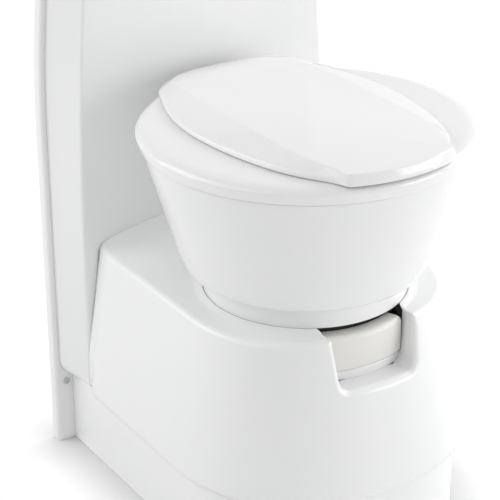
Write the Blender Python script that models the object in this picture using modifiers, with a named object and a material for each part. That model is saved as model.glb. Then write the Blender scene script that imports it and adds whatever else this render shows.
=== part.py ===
"""Caravan toilet with a high console, a swivelling bowl and a waste cassette that slides out at the back.

Metres, +Z up. The front of the toilet faces -Y and its back lies in the wall plane at +Y. The origin is on
the floor, under the middle of the whole. Distances "from the wall" run forwards, against +Y.
"""

import math

import bpy
import bmesh
import numpy as np
from mathutils import Matrix, Vector

# Fits
GAP = 0.0003
RUNNING_GAP = 0.0005
OVERRUN = 0.012
WELD = 0.00001

# Whole
HEIGHT = 0.830
SEAT_RADIUS = 0.195
SEAT_REAR_FROM_WALL = 0.093
BOWL_FROM_WALL = SEAT_REAR_FROM_WALL + SEAT_RADIUS
LID_LEAD = 0.0015
LID_FRONT_RADIUS = SEAT_RADIUS + LID_LEAD
DEPTH = BOWL_FROM_WALL + LID_FRONT_RADIUS
WALL_Y = DEPTH / 2
BOWL_Y = WALL_Y - BOWL_FROM_WALL
SQUARENESS_SHARE = 2 / 2.25

# Back frame and console
FRAME_DEPTH = 0.015
FRAME_HALF = 0.2025
FRAME_WIDEST_Z = 0.430
FRAME_BARREL_RADIUS = 1.60
FRAME_CORNER = 0.022
BAY_HALF = 0.157
BAY_TOP = 0.222
CONSOLE_FROM_WALL = 0.064
CONSOLE_WALL = 0.0035
CONSOLE_REAR_HALF = 0.201
CONSOLE_FACE_HALF = 0.178
CONSOLE_FACE_WIDEST_Z = 0.300
CONSOLE_FACE_BARREL_RADIUS = 3.49
CONSOLE_CORNER = 0.005
CONSOLE_CORNER_DEG = (165.0, 90.0)
CONSOLE_LOW = 0.100
CAP_HEIGHT = 0.018
CAP_ROUND = 0.006
CAP_WALL = 0.004
CONSOLE_WINDOW_TOP = 0.283

# Base shell
BASE_TOP = 0.291
BASE_TOP_HALF = 0.160
BASE_TOP_FRONT = 0.145
BASE_LOW = 0.098
BASE_LOW_HALF = 0.191
BASE_LOW_FRONT = 0.185
BASE_WALL = 0.004
BASE_TOP_ROUND = 0.008
BASE_LIP_ROUND = 0.011
BASE_BACK_SHARE = 0.97
BASE_BLEND = 0.038
COVE_DEPTH = 0.026
COVE_RISE = 0.022
COVE_STEEP_SHARE = 0.85
WELL_RADIUS = 0.1228
WELL_RIM_ROUND = 0.003

# Finger notch in the front of the base
NOTCH_HALF = 0.056
NOTCH_FLOOR = 0.229
NOTCH_CORNER = 0.009
NOTCH_WALL = 0.0035
NOTCH_FLARE = 0.006
POCKET_RADIUS = 0.1335

# Plinth
PLINTH_HALF = 0.178
PLINTH_FRONT = 0.172
PLINTH_TOP = BASE_LOW - GAP
PLINTH_WALL = 0.004
TRAY_HEIGHT = 0.005
RAIL_INNER = 0.1505
RAIL_OUTER = 0.1565
RAIL_TOP = 0.024
RAIL_FRONT_FROM_WALL = 0.350

# Support deck and what stands on it
DECK_LOW = 0.214
DECK_TOP = 0.229
DECK_HALF = 0.1645
DECK_FRONT = 0.128
DECK_BACK_FROM_WALL = 0.100
DECK_HOLE = 0.050
LEG_WIDTH = 0.0055
LEG_LENGTH = 0.020
LEGS_FROM_WALL = (0.104, 0.275)
WELL_RING_INNER = 0.1142
WELL_RING_OUTER = 0.129
WELL_RING_TOP = 0.240
BEARING_INNER = 0.062
BEARING_OUTER = 0.087
BEARING_TOP = 0.2417
BEARING_STEP = 0.004
SEAL_WALL = 0.0035
SEAL_TOP = 0.2385
SEAL_FIT = 0.001

# Slide lever
LEVER_INNER = 0.1135
LEVER_OUTER = 0.1315
LEVER_TOP = 0.280
LEVER_ROUND = 0.003
LEVER_START_DEG = -78.0
LEVER_END_DEG = 24.0
LEVER_TAB_DEG = (-70.0, -54.0)
LEVER_TAB_INNER = 0.107
DRIVE_RING_INNER = 0.0885
DRIVE_RING_HEIGHT = 0.0065

# Bowl
BOWL_RIM_Z = 0.475
SEAT_OVERHANG = 0.006
BOWL_RIM_RADIUS = SEAT_RADIUS - SEAT_OVERHANG
BOWL_LOW_RADIUS = 0.1483
BOWL_LOW_Z = 0.340
BOWL_FOOT_RADIUS = 0.1415
BOWL_FOOT_Z = 0.3235
COLLAR_RADIUS = 0.1215
COLLAR_TOP = 0.319
COLLAR_LOW = 0.2935
SPIGOT_RADIUS = 0.098
SPIGOT_FLANGE_INNER = 0.066
SPIGOT_FLANGE = 0.004
BOWL_WALL = 0.0035
BOWL_FOOT_ROUND = 0.011
BOWL_FOOT_DEG = (-17.0, -80.0)
LINER_WALL = 0.004
FLANGE_RISE = 0.0037
FLANGE_INSET = 0.0025
LINER_INSET = 0.015
LINER_FLANGE_TOP = BOWL_RIM_Z + FLANGE_RISE
LINER_FLANGE_RADIUS = BOWL_RIM_RADIUS - FLANGE_INSET
LINER_RADIUS = BOWL_RIM_RADIUS - LINER_INSET
LINER_WAIST_RADIUS = 0.128
LINER_WAIST_Z = 0.345
LINER_SUMP_RADIUS = 0.070
LINER_SUMP_Z = 0.282
LINER_NECK_Z = 0.263
FLUSH_RIM_DEPTH = 0.014
FLUSH_RIM_WIDTH = 0.012
OUTLET_RADIUS = 0.042
OUTLET_WALL = 0.0035
OUTLET_LOW = 0.2165

# Heights of the seat, above the flange that it rests on
SEAT_LIFT = 0.0038
SEAT_THICK = 0.013
EQUATOR_RISE = 0.0045
SKIRT_DROP = 0.004
SEAT_UNDER = LINER_FLANGE_TOP + SEAT_LIFT
SEAT_SKIRT = SEAT_UNDER - SKIRT_DROP
SEAT_EQUATOR = SEAT_UNDER + EQUATOR_RISE
SEAT_TOP = SEAT_UNDER + SEAT_THICK

# Hinges
HINGE_INSET = 0.013
HINGE_RISE = 0.0068
HINGE_FROM_WALL = SEAT_REAR_FROM_WALL + HINGE_INSET
HINGE_Z = SEAT_UNDER + HINGE_RISE
PIN_RADIUS = 0.0037
PIN_HOLE_RADIUS = 0.0041
LUG_RADIUS = 0.0075
BLOCK_RADIUS = 0.008
SEAT_LUG = (0.022, 0.034)
BLOCK = (0.0345, 0.044)
LID_LUG = (0.0445, 0.056)
PIN_OVERHANG = 0.001
BLOCK_FOOT = 0.005

# Seat
SEAT_SKIRT_WALL = 0.0042
SEAT_EDGE_ROUND = 0.016
SEAT_BAND = 0.082
SEAT_FRONT_BAND = 0.058
SEAT_HOLE_HALF = SEAT_RADIUS - SEAT_BAND
SEAT_HOLE_FRONT = SEAT_RADIUS - SEAT_FRONT_BAND
SEAT_HOLE_ROUND = 0.007
SEAT_CUT_HALF = 0.066
SEAT_CUT_LEAD = 0.025
SEAT_CUT_FROM_WALL = HINGE_FROM_WALL + SEAT_CUT_LEAD
BUFFER_RADIUS = 0.006
SEAT_BUFFER_INSET = 0.017
SEAT_BUFFER_RADIUS = SEAT_RADIUS - SEAT_BUFFER_INSET
SEAT_BUFFER_DEG = {"front_left": -38.0, "front_right": 38.0, "rear_left": -128.0, "rear_right": 128.0}

# Lid
LID_EDGE_RISE = 0.0013
LID_FRONT_EDGE_RISE = 0.0007
LID_REAR_EDGE_RISE = 0.0035
LID_CREASE_RISE = 0.0142
LID_FRONT_CREASE_RISE = 0.0125
LID_REAR_CREASE_RISE = 0.0105
LID_CROWN = 0.0062
LID_WALL = 0.003
LID_HALF = 0.131
LID_CREASE_HALF = 0.097
LID_CORNER_LEAD = 0.018
LID_REAR_TAIL = 0.022
LID_CORNER_FROM_WALL = HINGE_FROM_WALL + LID_CORNER_LEAD
LID_REAR_FROM_WALL = HINGE_FROM_WALL - LID_REAR_TAIL
LID_LIP_LEAN = 0.003
LID_STATION_SHARES = (0.0, 0.05, 0.10, 0.20, 0.30, 0.40, 0.50, 0.60, 0.70, 0.80, 0.90, 0.95, 1.0)
LID_EDGE_SHARES = (0.748, 0.805, 0.855, 0.934, 0.985, 1.0, 0.985, 0.941, 0.863, 0.756, 0.615, 0.553, 0.527)
LID_CREASE_SHARES = (0.93, 0.955, 0.975, 1.0, 1.0, 0.975, 0.94, 0.90, 0.865, 0.825, 0.755, 0.705, 0.675)
LID_CROWN_SHARES = (0.80, 0.42, 0.0)
LID_LIP_SHARES = (0.05, 0.45)
LID_FLANK_SHARES = (0.50, 0.84)
LID_SPINE_SHARE = 0.62
LID_BUFFER_X = 0.050
LID_BUFFER_INSET = 0.0445
LID_BUFFER_FROM_WALL = DEPTH - LID_BUFFER_INSET
LID_BUFFER_HEIGHT = 0.011

# Control panel on the console's face
PANEL_DROP = 0.125
PANEL_Z = HEIGHT - PANEL_DROP
PANEL_HALF_WIDTH = 0.055
PANEL_HALF_HEIGHT = 0.022
PANEL_THICK = 0.0035
PANEL_ROUND = 0.0015
PANEL_BUTTON_X = -0.026
PANEL_BUTTON_RADIUS = 0.0145
PANEL_BUTTON_PROUD = 0.0030
PANEL_BUTTON_BODY = 0.0085
PANEL_WINDOW_X = 0.024
PANEL_WINDOW_HALF = 0.014
PANEL_WINDOW_RISE = 0.005
BUTTON_FLANGE = 0.0015

# Flush-water tank, its cap, pump and hose
TANK_HALF = 0.118
TANK_LOW = 0.330
TANK_DROP = 0.045
TANK_TOP = HEIGHT - TANK_DROP
TANK_BACK_FROM_WALL = 0.0195
TANK_FRONT_FROM_WALL = 0.0595
TANK_WALL = 0.003
TANK_ROUND = 0.006
FILLER_X = 0.085
FILLER_Z = 0.356
FILLER_RADIUS = 0.020
FILLER_BORE = 0.016
FILLER_CAP_RADIUS = 0.025
FILLER_CAP_BACK = 0.003
FILLER_CAP_FRONT = 0.014
FILLER_HOLE = 0.0265
GRIP_HALF = 0.004
GRIP_LENGTH = 0.019
GRIP_DEPTH = 0.004
PUMP_X = -0.060
PUMP_RADIUS = 0.0145
PUMP_HEIGHT = 0.062
PUMP_STRAINER = 0.012
PUMP_NECK_SHARE = 0.55
PUMP_SHOULDER_SHARE = 0.25
HOSE_RADIUS = 0.0060
HOSE_BEND = 0.030
HOSE_SOCKET = 0.0085
ELBOW_FROM_WALL = 0.140
ELBOW_RADIUS = 0.010
ELBOW_TOP = 0.258
HOSE_END_Z = 0.248

# Screws in the recesses beside the plinth
SCREW_X = 0.187
SCREW_Z = 0.086
SCREW_HEAD_RADIUS = 0.0048
SCREW_HEAD = 0.0028
SCREW_SHANK_RADIUS = 0.0022
SCREW_LENGTH = 0.013

# Cassette
CASSETTE_HALF = 0.148
CASSETTE_BACK = 0.012
CASSETTE_FRONT = 0.372
CASSETTE_LOW = 0.0085
CASSETTE_TOP = 0.195
CASSETTE_WALL = 0.004
CASSETTE_ROUND = 0.008
INLET_RADIUS = 0.044
BAY_RECESS_DEPTH = 0.049
SPOUT_RECESS = (-0.130, 0.066)
SPOUT_RECESS_FRONT = 0.061
WHEEL_RECESS_X = 0.128
WHEEL_RECESS_BACK = 0.324
WHEEL_RECESS_TOP = 0.050
WHEEL_RADIUS = 0.0180
WHEEL_WIDTH = 0.0150
WHEEL_FROM_WALL = 0.348
WHEEL_ROUND = 0.003
WHEEL_PIN_RADIUS = 0.0035
HOUSING_HALF = 0.062
HOUSING_BACK = 0.126
HOUSING_FRONT = 0.352
HOUSING_TOP = 0.2075
BLADE_HALF = 0.0485
BLADE_SLOT_HALF = 0.0492
BLADE_SLOT_LOW = 0.1990
BLADE_SLOT_TOP = 0.2040
BLADE_LENGTH = 0.112
BLADE_TRAVEL = 0.092
BLADE_CORNER = 0.018
INLET_SEAL_INNER = 0.0455
INLET_SEAL_OUTER = 0.0560
VENT_X = 0.100
VENT_FROM_WALL = 0.092
VENT_RADIUS = 0.009
VENT_LOW = 0.186
VENT_TOP = 0.2015
SPOUT_X = -0.104
SPOUT_FROM_WALL = 0.037
SPOUT_Z = 0.1685
SPOUT_RADIUS = 0.0155
SPOUT_BORE = 0.0120
SPOUT_LENGTH = 0.130
SPOUT_BEND = 0.020
SPOUT_CAP_RADIUS = 0.0195
SPOUT_CAP_LENGTH = 0.020
SPOUT_CAP_WALL = 0.0025
HANDLE_X = 0.046
HANDLE_Z = 0.104
HANDLE_DROP = 0.046
HANDLE_FROM_WALL = 0.0068
HANDLE_RADIUS = 0.0038
HANDLE_BEND = 0.010
BRACKET = (0.049, 0.058)
BRACKET_BACK = 0.0015
BRACKET_HALF_HEIGHT = 0.008

# Facets
ROUND_STEPS = 36
RING_STEPS = 28
SMALL_STEPS = 14
TINY_STEPS = 10
SEAT_STEPS = 44

# Finishes: colour, roughness, metallic
WHITE = ((0.87, 0.87, 0.86), 0.16, 0.0)
CERAMIC = ((0.90, 0.90, 0.89), 0.08, 0.0)
PALE_GREY = ((0.66, 0.67, 0.66), 0.35, 0.0)
LEVER_GREY = ((0.63, 0.63, 0.60), 0.38, 0.0)
DARK_GREY = ((0.10, 0.10, 0.11), 0.45, 0.0)
RUBBER = ((0.035, 0.035, 0.038), 0.75, 0.0)
STEEL = ((0.62, 0.62, 0.63), 0.28, 1.0)
TANK_NATURAL = ((0.78, 0.79, 0.78), 0.45, 0.0)
GREEN_GREY = ((0.30, 0.34, 0.33), 0.5, 0.0)
SMOKED = ((0.05, 0.06, 0.06), 0.12, 0.0)

AXES = {"x": Vector((1, 0, 0)), "y": Vector((0, 1, 0)), "z": Vector((0, 0, 1))}


def from_wall(distance):
    """The y of a place that lies this far in front of the wall plane."""
    return WALL_Y - distance


def around_bowl(radius, degrees):
    """The x and y of a place at this radius from the bowl's axis, turned from the front towards +X."""
    angle = math.radians(degrees)
    return radius * math.sin(angle), BOWL_Y - radius * math.cos(angle)


def clear_scene():
    for obj in list(bpy.data.objects):
        bpy.data.objects.remove(obj, do_unlink=True)


def new_collection(name):
    collection = bpy.data.collections.new(name)
    bpy.context.scene.collection.children.link(collection)
    return collection


clear_scene()
PARTS = new_collection("cassette_toilet")
CUTTERS = new_collection("cutters")


def add_object(name, mesh, finish):
    """Links a mesh as a part, or as a hidden cutter where it has no finish."""
    obj = bpy.data.objects.new(name, mesh)
    if finish is None:
        CUTTERS.objects.link(obj)
        obj.hide_render = True
        obj.display_type = "WIRE"
        return obj
    PARTS.objects.link(obj)
    colour, roughness, metallic = finish
    material = bpy.data.materials.new(name)
    material.use_nodes = True
    shader = material.node_tree.nodes["Principled BSDF"]
    shader.inputs["Base Color"].default_value = (*colour, 1)
    shader.inputs["Roughness"].default_value = roughness
    shader.inputs["Metallic"].default_value = metallic
    mesh.materials.append(material)
    mesh.shade_smooth()
    mesh.set_sharp_from_angle(angle=math.radians(35))
    return obj


def bevel(obj, width, segments=2, angle=40.0):
    modifier = obj.modifiers.new("round_edges", "BEVEL")
    modifier.width = width
    modifier.segments = segments
    modifier.limit_method = "ANGLE"
    modifier.angle_limit = math.radians(angle)
    return obj


def combine(obj, tool, operation="DIFFERENCE"):
    modifier = obj.modifiers.new(tool.name, "BOOLEAN")
    modifier.operation = operation
    modifier.solver = "EXACT"
    modifier.object = tool
    return obj


def box(name, low, high, finish=None):
    """A box between two corners."""
    mesh = bpy.data.meshes.new(name)
    shape = bmesh.new()
    bmesh.ops.create_cube(shape, size=1)
    middle = (Vector(low) + Vector(high)) / 2
    size = [abs(b - a) for a, b in zip(low, high)]
    bmesh.ops.scale(shape, vec=size, verts=shape.verts)
    bmesh.ops.translate(shape, vec=middle, verts=shape.verts)
    shape.to_mesh(mesh)
    shape.free()
    return add_object(name, mesh, finish)


def rod(name, start, end, radius, finish=None, sides=SMALL_STEPS):
    """A round bar between two points."""
    start, end = Vector(start), Vector(end)
    mesh = bpy.data.meshes.new(name)
    shape = bmesh.new()
    bmesh.ops.create_cone(
        shape, cap_ends=True, segments=sides, radius1=radius, radius2=radius, depth=(end - start).length
    )
    turn = AXES["z"].rotation_difference((end - start).normalized()).to_matrix().to_4x4()
    bmesh.ops.transform(shape, matrix=Matrix.Translation((start + end) / 2) @ turn, verts=shape.verts)
    shape.to_mesh(mesh)
    shape.free()
    return add_object(name, mesh, finish)


def turned(name, profile, finish=None, steps=ROUND_STEPS, centre=(0, BOWL_Y), closed=True):
    """A profile of (radius, height) points, run down its outer side, turned round an upright axis."""
    mesh = bpy.data.meshes.new(name)
    count = len(profile)
    edges = [(i, i + 1) for i in range(count - 1)] + ([(count - 1, 0)] if closed else [])
    mesh.from_pydata([(r, 0, z) for r, z in profile], edges, [])
    obj = add_object(name, mesh, finish)
    obj.location = (*centre, 0)
    modifier = obj.modifiers.new("turn", "SCREW")
    modifier.axis = "Z"
    modifier.steps = modifier.render_steps = steps
    modifier.use_merge_vertices = True
    modifier.merge_threshold = WELD
    return obj


def ring(name, inner, outer, low, high, finish=None, steps=ROUND_STEPS, centre=(0, BOWL_Y)):
    return turned(name, [(inner, high), (outer, high), (outer, low), (inner, low)], finish, steps, centre)


def arc(centre, radius, start, end, count):
    """Points on an arc, in degrees from the first axis towards the second."""
    angles = np.radians(np.linspace(start, end, count))
    return [(centre[0] + radius * math.cos(a), centre[1] + radius * math.sin(a)) for a in angles]


def as_mesh(obj, finish):
    """The curve's solid as a mesh object of the same name, with its caps welded on."""
    bpy.context.view_layer.update()
    graph = bpy.context.evaluated_depsgraph_get()
    mesh = bpy.data.meshes.new_from_object(obj.evaluated_get(graph))
    shape = bmesh.new()
    shape.from_mesh(mesh)
    bmesh.ops.remove_doubles(shape, verts=shape.verts, dist=WELD)
    bmesh.ops.recalc_face_normals(shape, faces=shape.faces)
    shape.to_mesh(mesh)
    shape.free()
    name, place = obj.name, obj.matrix_world.copy()
    bpy.data.objects.remove(obj, do_unlink=True)
    solid = add_object(name, mesh, finish)
    solid.matrix_world = place
    return solid


def plate(name, outline, low, high, finish=None, upright=False):
    """A flat outline with a thickness. Upright, its second axis is z and its thickness runs from the wall."""
    curve = bpy.data.curves.new(name, "CURVE")
    curve.dimensions = "2D"
    curve.fill_mode = "BOTH"
    curve.extrude = (high - low) / 2
    spline = curve.splines.new("POLY")
    spline.points.add(len(outline) - 1)
    spline.points.foreach_set("co", [v for x, y in outline for v in (x, y, 0, 1)])
    spline.use_cyclic_u = True
    obj = bpy.data.objects.new(name, curve)
    CUTTERS.objects.link(obj)
    middle = (low + high) / 2
    if upright:
        stand_up = Matrix.Rotation(math.pi / 2, 4, "X")
        obj.matrix_world = Matrix.Translation((0, from_wall(middle), 0)) @ stand_up
    else:
        obj.location = (0, 0, middle)
    return as_mesh(obj, finish)


def tube(name, points, radius, finish=None, fineness=2):
    """A round tube along points."""
    curve = bpy.data.curves.new(name, "CURVE")
    curve.dimensions = "3D"
    curve.bevel_depth = radius
    curve.bevel_resolution = fineness
    curve.use_fill_caps = True
    spline = curve.splines.new("POLY")
    spline.points.add(len(points) - 1)
    spline.points.foreach_set("co", [v for p in points for v in (*p, 1)])
    obj = bpy.data.objects.new(name, curve)
    CUTTERS.objects.link(obj)
    return as_mesh(obj, finish)


def rounded_path(corners, radius, count=4):
    """The corners joined by straight runs, with each inner corner turned into a bend."""
    path = [Vector(corners[0])]
    for before, corner, after in zip(corners, corners[1:], corners[2:]):
        corner = Vector(corner)
        start = corner + (Vector(before) - corner).normalized() * radius
        end = corner + (Vector(after) - corner).normalized() * radius
        for share in np.linspace(0, 1, count):
            path.append(start.lerp(corner, share).lerp(corner.lerp(end, share), share))
    return path + [Vector(corners[-1])]


def skin(name, sections, finish=None, round_trip=False, caps=False):
    """A surface through sections with equal counts of points."""
    rows, columns = len(sections), len(sections[0])
    span = columns if round_trip else columns - 1
    faces = []
    for row in range(rows - 1):
        for column in range(span):
            after = (column + 1) % columns
            low, high = row * columns, (row + 1) * columns
            faces.append((low + column, low + after, high + after, high + column))
    if caps:
        faces.append(tuple(reversed(range(columns))))
        faces.append(tuple(range((rows - 1) * columns, rows * columns)))
    mesh = bpy.data.meshes.new(name)
    mesh.from_pydata([tuple(p) for section in sections for p in section], [], faces)
    shape = bmesh.new()
    shape.from_mesh(mesh)
    bmesh.ops.remove_doubles(shape, verts=shape.verts, dist=WELD)
    bmesh.ops.dissolve_degenerate(shape, edges=shape.edges, dist=WELD)
    if all(len(edge.link_faces) > 1 for edge in shape.edges):
        bmesh.ops.recalc_face_normals(shape, faces=shape.faces)
    shape.to_mesh(mesh)
    shape.free()
    return add_object(name, mesh, finish)


def thicken(obj, thickness, outward=1):
    modifier = obj.modifiers.new("wall", "SOLIDIFY")
    modifier.thickness = thickness
    modifier.offset = -outward
    modifier.use_even_offset = True
    return obj


def empty(name, place, parent=None):
    obj = bpy.data.objects.new(name, None)
    PARTS.objects.link(obj)
    obj.location = place
    bpy.context.view_layer.update()
    if parent:
        set_parent(obj, parent)
    return obj


def set_parent(obj, parent):
    bpy.context.view_layer.update()
    obj.parent = parent
    obj.matrix_parent_inverse = parent.matrix_world.inverted()


def carry(parent, *objects):
    for obj in objects:
        set_parent(obj, parent)


def mirrored(points):
    """The points followed by their mirror images in x, in the other order."""
    return points + [(-x, *rest) for x, *rest in reversed(points)]


# Back frame and console


def barrel_half(half, widest, radius, z):
    """Half the width of a barrel-shaped outline at a height above its widest place."""
    rise = max(z - widest, 0)
    return half - rise**2 / (2 * radius)


def frame_half(z):
    return barrel_half(FRAME_HALF, FRAME_WIDEST_Z, FRAME_BARREL_RADIUS, z)


def console_rear_half(z):
    return frame_half(z) - (FRAME_HALF - CONSOLE_REAR_HALF)


def console_face_half(z):
    return barrel_half(CONSOLE_FACE_HALF, CONSOLE_FACE_WIDEST_Z, CONSOLE_FACE_BARREL_RADIUS, z)


def back_frame():
    heights = [0, *np.linspace(FRAME_WIDEST_Z, HEIGHT - FRAME_CORNER, 7)]
    side = [(-frame_half(z), z) for z in heights[:-1]]
    corner_x = frame_half(HEIGHT - FRAME_CORNER) - FRAME_CORNER
    side += arc((-corner_x, HEIGHT - FRAME_CORNER), FRAME_CORNER, 180, 90, 5)
    opening = [(BAY_HALF, 0), (BAY_HALF, BAY_TOP), (-BAY_HALF, BAY_TOP), (-BAY_HALF, 0)]
    frame = plate("back_frame", mirrored(side) + opening, 0, FRAME_DEPTH, WHITE, upright=True)
    hole = rod(
        "filler_hole",
        (FILLER_X, from_wall(-OVERRUN), FILLER_Z),
        (FILLER_X, from_wall(FRAME_DEPTH + OVERRUN), FILLER_Z),
        FILLER_HOLE,
    )
    combine(frame, hole)
    for side_name, sign in (("left", -1), ("right", 1)):
        start = (sign * SCREW_X, from_wall(FRAME_DEPTH + OVERRUN), SCREW_Z)
        end = (sign * SCREW_X, from_wall(FRAME_DEPTH - SCREW_LENGTH), SCREW_Z)
        combine(frame, rod(f"screw_hole_{side_name}", start, end, SCREW_SHANK_RADIUS + GAP, sides=TINY_STEPS))
    return frame


def console_section(z, inset=0.0):
    """The console's outline at one height: splayed side, rounded front edge and flat face, then mirrored."""
    rear = -console_rear_half(z) + inset
    face = -console_face_half(z) + inset
    front = CONSOLE_FROM_WALL - inset
    corner = arc((face + CONSOLE_CORNER, front - CONSOLE_CORNER), CONSOLE_CORNER, *CONSOLE_CORNER_DEG, 4)
    points = [(rear, FRAME_DEPTH - CONSOLE_WALL), *corner]
    half = [(x, from_wall(d), z) for x, d in points]
    return half + [(0, from_wall(front), z)] + [(-x, y, z) for x, y, z in reversed(half)]


def back_trim(name, distance):
    """A cutter that takes away everything closer to the wall than this."""
    low = (-FRAME_HALF - OVERRUN, from_wall(distance), -OVERRUN)
    high = (FRAME_HALF + OVERRUN, from_wall(-OVERRUN), HEIGHT + OVERRUN)
    return box(name, low, high)


def console_shell():
    top = HEIGHT - CAP_HEIGHT
    heights = [CONSOLE_LOW, CONSOLE_WINDOW_TOP, *np.linspace(CONSOLE_FACE_WIDEST_Z + COVE_RISE, top, 7)]
    shell = skin("console_shell", [console_section(z) for z in heights], WHITE)
    thicken(shell, CONSOLE_WALL)
    combine(shell, back_trim("console_back_trim", FRAME_DEPTH + GAP))
    window = box(
        "console_window",
        (-BAY_HALF, from_wall(CONSOLE_FROM_WALL + OVERRUN), CONSOLE_LOW - OVERRUN),
        (BAY_HALF, from_wall(CONSOLE_FROM_WALL - OVERRUN), CONSOLE_WINDOW_TOP),
    )
    combine(shell, window)
    button_hole = rod(
        "panel_hole",
        (PANEL_BUTTON_X, from_wall(CONSOLE_FROM_WALL - OVERRUN), PANEL_Z),
        (PANEL_BUTTON_X, from_wall(CONSOLE_FROM_WALL + OVERRUN), PANEL_Z),
        PANEL_BUTTON_RADIUS + RUNNING_GAP,
    )
    return combine(shell, button_hole)


def console_cap():
    """A lift-off cover over the open top of the console, with a rounded edge."""
    low = HEIGHT - CAP_HEIGHT + GAP
    rounds = arc((CAP_ROUND, HEIGHT - CAP_ROUND), CAP_ROUND, 180, 90, 4)
    levels = [(0, low), *rounds]
    sections = [console_section(min(z, HEIGHT - CAP_ROUND), inset) for inset, z in levels]
    sections = [[(x, y, z) for x, y, _ in section] for section, (_, z) in zip(sections, levels)]
    cap = skin("console_cap", sections, WHITE, round_trip=True, caps=True)
    combine(cap, back_trim("cap_back_trim", FRAME_DEPTH + GAP))
    outline = [(x, y) for x, y, _ in console_section(low, CAP_WALL)]
    inner = [[(x, y, z) for x, y in outline] for z in (low - OVERRUN, HEIGHT - CAP_WALL)]
    hollow = skin("cap_hollow", inner, round_trip=True, caps=True)
    return combine(cap, hollow)


# Base shell and plinth


def fall_share(z):
    """How far down the flared wall of the base a height lies, from 0 at its top to 1 at its lip."""
    return (BASE_TOP - z) / (BASE_TOP - BASE_LOW)


def base_half(z):
    return BASE_TOP_HALF + (BASE_LOW_HALF - BASE_TOP_HALF) * fall_share(z)


def base_front(z):
    return BASE_TOP_FRONT + (BASE_LOW_FRONT - BASE_TOP_FRONT) * fall_share(z)


SIDE_SHARES = (0.0, 0.05, 0.10, 0.16, 0.50)
FRONT_ARC_COUNT = 8


def rounded_front(half, front, back, back_half, blend):
    """Half an outline, from the back round to the middle of the front: a straight side that narrows over a
    blend at the back, and a front that is a little squarer than an ellipse."""
    points = []
    length = BOWL_FROM_WALL - back
    for share in SIDE_SHARES:
        reach = min(share * length / blend, 1) if blend else 1
        ease = reach * reach * (3 - 2 * reach)
        points.append((-(back_half + (half - back_half) * ease), from_wall(back + share * length)))
    for angle in np.linspace(0, math.pi / 2, FRONT_ARC_COUNT + 1):
        x = half * math.cos(angle) ** SQUARENESS_SHARE
        y = BOWL_Y - front * math.sin(angle) ** SQUARENESS_SHARE
        points.append((-x if angle < math.pi / 2 else 0.0, y))
    return points


def whole_outline(half_points):
    return half_points + [(-x, y) for x, y in reversed(half_points[:-1])]


def base_section(z, inset=0.0, wall_z=None):
    """The outline of the base at a height, drawn in by an inset."""
    wall_z = z if wall_z is None else wall_z
    half, front = base_half(wall_z) - inset, base_front(wall_z) - inset
    back_half = min(base_half(wall_z) * BASE_BACK_SHARE, CONSOLE_FACE_HALF) - inset
    outline = whole_outline(rounded_front(half, front, CONSOLE_FROM_WALL - BASE_WALL, back_half, BASE_BLEND))
    return [(x, y, z) for x, y in outline]


def cove(x, y):
    """How far the deck rises where it curves up to the console, most in the middle."""
    reach = (y - from_wall(CONSOLE_FROM_WALL + COVE_DEPTH)) / COVE_DEPTH
    reach = min(max(reach, 0), 1) * COVE_STEEP_SHARE
    across = 1 - min(abs(x) / BASE_TOP_HALF, 1) ** 3
    return COVE_RISE * (1 - math.sqrt(1 - reach**2)) / (1 - math.sqrt(1 - COVE_STEEP_SHARE**2)) * across


def deck_section(section, share):
    """The outline drawn towards the spine of the deck, and raised where the deck curves up."""
    points = []
    for x, y, z in section:
        spine_y = max(y, BOWL_Y)
        drawn_x, drawn_y = x * share, spine_y + (y - spine_y) * share
        points.append((drawn_x, drawn_y, z + cove(drawn_x, drawn_y)))
    return points


DECK_SHARES = (1.0, 0.90, 0.72, 0.0)


def base_sections():
    """Sections from the turned-in lip, up the flared wall and over the top edge to the deck's spine."""
    lip_inset = BASE_LOW_HALF - PLINTH_HALF + PLINTH_WALL
    levels = [(lip_inset, BASE_LOW)]
    levels += arc((BASE_LIP_ROUND, BASE_LOW + BASE_LIP_ROUND), BASE_LIP_ROUND, 270, 180, 3)
    sections = [base_section(z, inset) for inset, z in levels]
    wall_low, wall_high = BASE_LOW + BASE_LIP_ROUND, BASE_TOP - BASE_TOP_ROUND
    sections.append(base_section((wall_low + wall_high) / 2))
    top_levels = arc((BASE_TOP_ROUND, wall_high), BASE_TOP_ROUND, 180, 90, 4)
    tops = [base_section(z, inset, min(z, wall_high)) for inset, z in top_levels]
    sections += [[(x, y, z + cove(x, y)) for x, y, z in top] for top in tops[:-1]]
    return sections + [deck_section(tops[-1], share) for share in DECK_SHARES]


def front_y(x, z):
    """The y of the front of the base at a place across it and a height."""
    share = min(abs(x) / base_half(z), 1)
    power = 2 / SQUARENESS_SHARE
    return BOWL_Y - base_front(z) * (1 - share**power) ** (1 / power)


def notch_outline(spread):
    """Half width and height points round the notch, opened up by a spread."""
    half, low = NOTCH_HALF + spread, NOTCH_FLOOR - spread
    corner = arc((-half + NOTCH_CORNER, low + NOTCH_CORNER), NOTCH_CORNER, 180, 270, 5)
    top, middle = BASE_TOP + OVERRUN, (BASE_TOP + NOTCH_FLOOR) / 2
    left = [(-half, top), (-half, middle), *corner, (-NOTCH_HALF / 2, low)]
    return left + [(0, low)] + [(-x, z) for x, z in reversed(left)]


FLARE_SHARES = ((0.0, 0.0), (0.45, 0.12), (0.8, 0.45), (1.0, 1.0))


def notch_cutter():
    """The notch's space: straight walls that flare out where they meet the curved front."""
    flared = []
    for depth_share, spread_share in FLARE_SHARES:
        outline = notch_outline(spread_share * NOTCH_FLARE)
        inset = (1 - depth_share) * NOTCH_FLARE
        flared.append([(x, front_y(x, min(z, BASE_TOP)) + inset, z) for x, z in outline])
    inner = [(x, BOWL_Y, z) for x, _, z in flared[0]]
    outer = [(x, BOWL_Y - BASE_LOW_FRONT - OVERRUN, z) for x, _, z in flared[-1]]
    return skin("notch", [inner, *flared, outer], round_trip=True, caps=True)


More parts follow.
